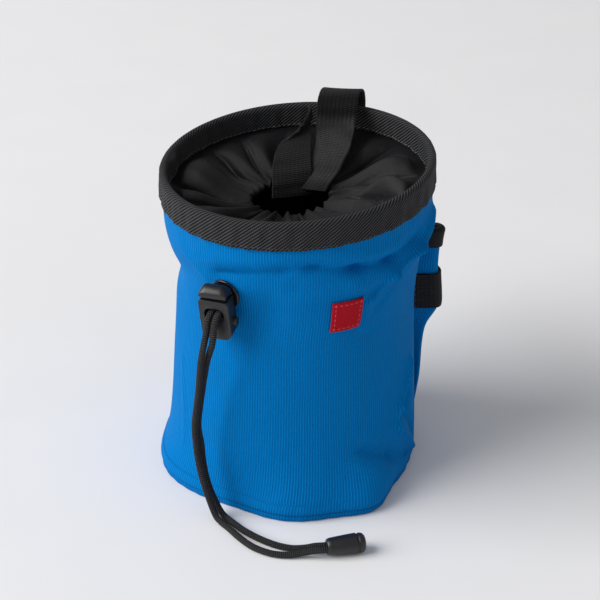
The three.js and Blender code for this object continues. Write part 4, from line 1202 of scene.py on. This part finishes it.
black_webbing, tree, shader = finish_of("black_webbing", {"Sheen Weight": 0.02,
                                                          "Specular IOR Level": 0.25})
surface = place_effect(tree, webbing)
# The light colour paints highlights on the webbing's ribs and the dark colour paints shade between them.
blend_colours(tree, shader, surface.outputs["Shade"], (0.002, 0.002, 0.003), (0.011, 0.011, 0.013))
vary_roughness(tree, shader, mottle(tree, 0.004), 0.45, 0.65)
raise_relief(tree, shader, [(surface.outputs["Height"], 0.0003), (mottle(tree, 0.006), 0.0004)])
strap_loop = strip_piece("strap_loop_webbing", WEBBING_THICKNESS, lambda across, along: strap_surface(
    loop_rows, across, along, crease=(0.53, 0.11, 0.16)), 25, 150, WEBBING_WIDTH, 0.092)
strap_tail = strip_piece("strap_tail_webbing", WEBBING_THICKNESS, lambda across, along: strap_surface(
    tail_rows, across, along), 25, 90, WEBBING_WIDTH, 0.052)
for strap, node in ((strap_loop, "strap_loop"), (strap_tail, "strap_tail")):
    strap.data.materials.append(black_webbing)
    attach(strap, "bag")
    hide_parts(node)


# Brush holder: a cloth half tube sewn up the right side, open at its taped mouth, with a band of
# webbing sewn across it.
SLEEVE_START = 10.5
SLEEVE_CLOTH = 0.0012
SLEEVE_TOP = 0.1082
SLEEVE_MOUTH_DROP = 0.007
SLEEVE_BOTTOM = 0.020
SLEEVE_BULGE = 0.014
SLEEVE_TAPE = 0.0074
TAPE_SHARE = 0.84
BAND_LOW = 0.0695
BAND_HEIGHT = 0.0175

# Share of the height, then how far the sleeve stands off the wall as a share of its bulge
sleeve_sections = {
    0.00: (0.00,), 0.16: (0.18,), 0.36: (0.30,), 0.46: (0.46,), 0.55: (0.86,), 0.62: (0.92,),
    0.78: (0.86,), 1.00: (0.72,),
}
# Share of the way round the sleeve, then degrees round the wall and the share of the bulge
sleeve_plan = {
    0.000: (0.0, 0.00), 0.125: (-0.8, 0.42), 0.250: (-1.4, 0.84), 0.375: (0.6, 1.00),
    0.500: (5.4, 0.94), 0.625: (9.8, 0.72), 0.750: (13.8, 0.42), 0.875: (17.6, 0.16),
    1.000: (21.5, 0.00),
}


def sleeve_point(across, height):
    """A point of the sleeve's middle surface, off the uncreased wall."""
    share = across + 0.5
    angle = np.radians(SLEEVE_START + smooth_column(sleeve_plan, 0, share))
    up = (height - SLEEVE_BOTTOM) / (SLEEVE_TOP - SLEEVE_BOTTOM)
    out = smooth_column(sleeve_sections, 0, up) * SLEEVE_BULGE * smooth_column(sleeve_plan, 1, share)
    return wall_point(angle, mouth_top(angle) - height, CLEARANCE + SLEEVE_CLOTH / 2 + out,
                      creased=False)


def sleeve_mouth(across):
    """Height of the sleeve's mouth, which drops towards the back."""
    return SLEEVE_TOP - SLEEVE_MOUTH_DROP * ease(across, -0.15, 0.35)


def beyond_sleeve(across, height, offset):
    """The sleeve's surface moved along its own normal."""
    step = 0.01
    across = np.clip(across, -0.5, 0.5)
    low = sleeve_point(np.maximum(across - step, -0.5), height)
    across_way = sleeve_point(np.minimum(across + step, 0.5), height) - low
    normal = np.cross(across_way, np.array([0.0, 0.0, 1.0]))
    normal /= np.linalg.norm(normal, axis=-1)[..., None]
    return sleeve_point(across, height) + normal * np.asarray(offset)[..., None]


def sleeve_surface(across, along):
    """The sleeve's middle surface by shares across and up."""
    within = np.clip(across, -0.5, 0.5)
    height = SLEEVE_BOTTOM + (sleeve_mouth(within) - SLEEVE_BOTTOM) * (along + 0.5)
    return sleeve_point(within, height) + np.stack([
        np.zeros_like(across), (across - within) * 0.03, np.zeros_like(across)], axis=-1)


TAPE_OFFSET = (SLEEVE_CLOTH + TAPE_THICKNESS) / 2 + CLEARANCE


def sleeve_tape_surface(across, along):
    """Tape down the inside, over the mouth and down the outside."""
    row = 6 * (along + 0.5)
    bend = math.pi * np.clip(row - 1, 0, 4) / 4
    down = SLEEVE_TAPE * np.maximum(np.maximum(1 - row, row - 5), 0)
    within = TAPE_SHARE * across
    points = beyond_sleeve(within, sleeve_mouth(within) - down, TAPE_OFFSET * np.cos(bend))
    points[..., 2] += TAPE_OFFSET * np.sin(bend)
    return points


BAND_OFFSET = (SLEEVE_CLOTH + WEBBING_THICKNESS) / 2 + CLEARANCE


def band_surface(across, along):
    """The band's middle surface, flat on the sleeve."""
    height = BAND_LOW + (along + 0.5) * BAND_HEIGHT
    return beyond_sleeve(across, height, np.full_like(across, BAND_OFFSET))


brush_sleeve = strip_piece("brush_sleeve_cloth", SLEEVE_CLOTH, sleeve_surface, 70, 120, 0.045, 0.088)
brush_sleeve.data.materials.append(blue_cloth)
sleeve_tape = strip_piece("brush_sleeve_tape", TAPE_THICKNESS, sleeve_tape_surface, 60, 49, 0.038, 0.019)
sleeve_tape.data.materials.append(soft_black("sleeve_tape", (0.004, 0.004, 0.005),
                                             (0.011, 0.011, 0.013), 0.6, 0.0004))
brush_band = strip_piece("brush_band_webbing", WEBBING_THICKNESS, band_surface, 60, 40, 0.045, 0.0175)
brush_band.data.materials.append(black_webbing)
for holder_piece, node in ((brush_sleeve, "brush_sleeve"), (sleeve_tape, "sleeve_binding"),
                           (brush_band, "brush_band")):
    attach(holder_piece, "bag")
    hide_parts(node)

BAND_STITCHES = 6
BAND_STITCH_INSET = 0.0012
BAND_STITCH_LENGTH = 0.0022
BAND_STITCH_THICKNESS = 0.0004
stitch_heights = np.linspace(BAND_LOW + BAND_STITCH_INSET, BAND_LOW + BAND_HEIGHT - BAND_STITCH_INSET,
                             BAND_STITCHES)
for edge, across in (("front", -0.46), ("back", 0.46)):
    stitch_across = np.full(BAND_STITCHES, across)
    centres = beyond_sleeve(stitch_across, stitch_heights,
                            np.full(BAND_STITCHES, BAND_OFFSET + WEBBING_THICKNESS / 2))
    outward = centres - beyond_sleeve(stitch_across, stitch_heights, np.zeros(BAND_STITCHES))
    run = stitch_run(f"band_stitches_{edge}", centres, outward, BAND_STITCH_LENGTH,
                     BAND_STITCH_THICKNESS)
    run.data.materials.append(dark_thread)


# Label: a small square of red woven tape with its edges turned under, sewn on round its edge.
# Its face is bare.
LABEL_SIZE = 0.015
LABEL_THICKNESS = 0.001
LABEL_ANGLE = math.radians(-67.5)
LABEL_HEIGHT = 0.1005
LABEL_TILT = math.radians(1.5)
LABEL_LIFT = 0.0006


def label_surface(across, along):
    """The label's middle surface on the creased wall, with its edges pressed down."""
    tilted_across = across * math.cos(LABEL_TILT) - along * math.sin(LABEL_TILT)
    tilted_along = across * math.sin(LABEL_TILT) + along * math.cos(LABEL_TILT)
    angle = LABEL_ANGLE + tilted_across * LABEL_SIZE / WALL_RADIUS
    height = LABEL_HEIGHT + tilted_along * LABEL_SIZE
    pillow = -0.0002 * ((2 * across) ** 6 + (2 * along) ** 6)
    return wall_point(angle, mouth_top(angle) - height, LABEL_LIFT + LABEL_THICKNESS / 2 + pillow)


label = strip_piece("woven_label", LABEL_THICKNESS, label_surface, 33, 33, LABEL_SIZE, LABEL_SIZE)
red_cloth, tree, shader = finish_of("red_cloth", {"Sheen Weight": 0.02, "Specular IOR Level": 0.1})
surface = place_effect(tree, webbing, Ribs_per_metre=2400.0, Wales_per_metre=1500.0)
# The webbing shade paints highlights on the label's fine ribs and shade between them.
blend_colours(tree, shader, surface.outputs["Shade"], (0.30, 0.001, 0.008), (0.60, 0.004, 0.020))
vary_roughness(tree, shader, mottle(tree, 0.003), 0.6, 0.78)
raise_relief(tree, shader, [(surface.outputs["Height"], 0.00006), (mottle(tree, 0.004), 0.0002)])
label.data.materials.append(red_cloth)
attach(label, "bag")
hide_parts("label")

STITCH_INSET = 0.0013
EDGE_STITCHES = 6
inset = 0.5 - STITCH_INSET / LABEL_SIZE
stitch_shares = np.linspace(-inset, inset, EDGE_STITCHES)
edge_share = np.full(EDGE_STITCHES, inset)
label_edges = {
    "low": (stitch_shares, -edge_share), "high": (stitch_shares, edge_share),
    "left": (-edge_share, stitch_shares), "right": (edge_share, stitch_shares),
}
label_out = np.array([math.cos(LABEL_ANGLE), math.sin(LABEL_ANGLE), 0.0])
for edge, (across, along) in label_edges.items():
    centres = label_surface(across, along) + label_out * LABEL_THICKNESS * 0.5
    run = stitch_run(f"label_stitches_{edge}", centres, np.tile(label_out, (EDGE_STITCHES, 1)))
    run.data.materials.append(red_thread)


# Floor and light: a plain pale floor, a big soft light high on the left and a weak fill.
floor_mesh = bpy.data.meshes.new("floor")
FLOOR_REACH = 4.0
floor_corners = [(FLOOR_REACH * x, FLOOR_REACH * y, 0.0) for x, y in ((-1, -1), (1, -1), (1, 1), (-1, 1))]
floor_mesh.from_pydata(floor_corners, [], [(0, 1, 2, 3)])
floor = bpy.data.objects.new("floor", floor_mesh)
scene.collection.objects.link(floor)
paper, tree, shader = finish_of("pale_floor", {"Specular IOR Level": 0.2, "Roughness": 0.8})
blend_colours(tree, shader, mottle(tree, 0.05), (0.80, 0.80, 0.825), (0.84, 0.84, 0.86))
floor.data.materials.append(paper)


def soft_light(name, place, aim, size, power, colour):
    """A square area light at a place, facing its aim."""
    lamp_data = bpy.data.lights.new(name, "AREA")
    lamp_data.size = size
    lamp_data.energy = power
    lamp_data.color = colour
    lamp = bpy.data.objects.new(name, lamp_data)
    lamp.location = place
    lamp.rotation_euler = (Vector(aim) - Vector(place)).to_track_quat("-Z", "Y").to_euler()
    scene.collection.objects.link(lamp)


soft_light("key_light", (-3.2, -0.7, 2.4), (0, 0, 0.08), 3.2, 204.0, (1.0, 0.99, 0.97))
soft_light("fill_light", (2.2, -2.4, 1.6), (0, 0, 0.06), 2.0, 5.0, (0.96, 0.98, 1.0))
world = bpy.data.worlds.new("room")
world.use_nodes = True
world.node_tree.nodes["Background"].inputs["Color"].default_value = (1.0, 1.0, 1.0, 1.0)
world.node_tree.nodes["Background"].inputs["Strength"].default_value = 0.36
scene.world = world
scene.view_settings.view_transform = "Standard"
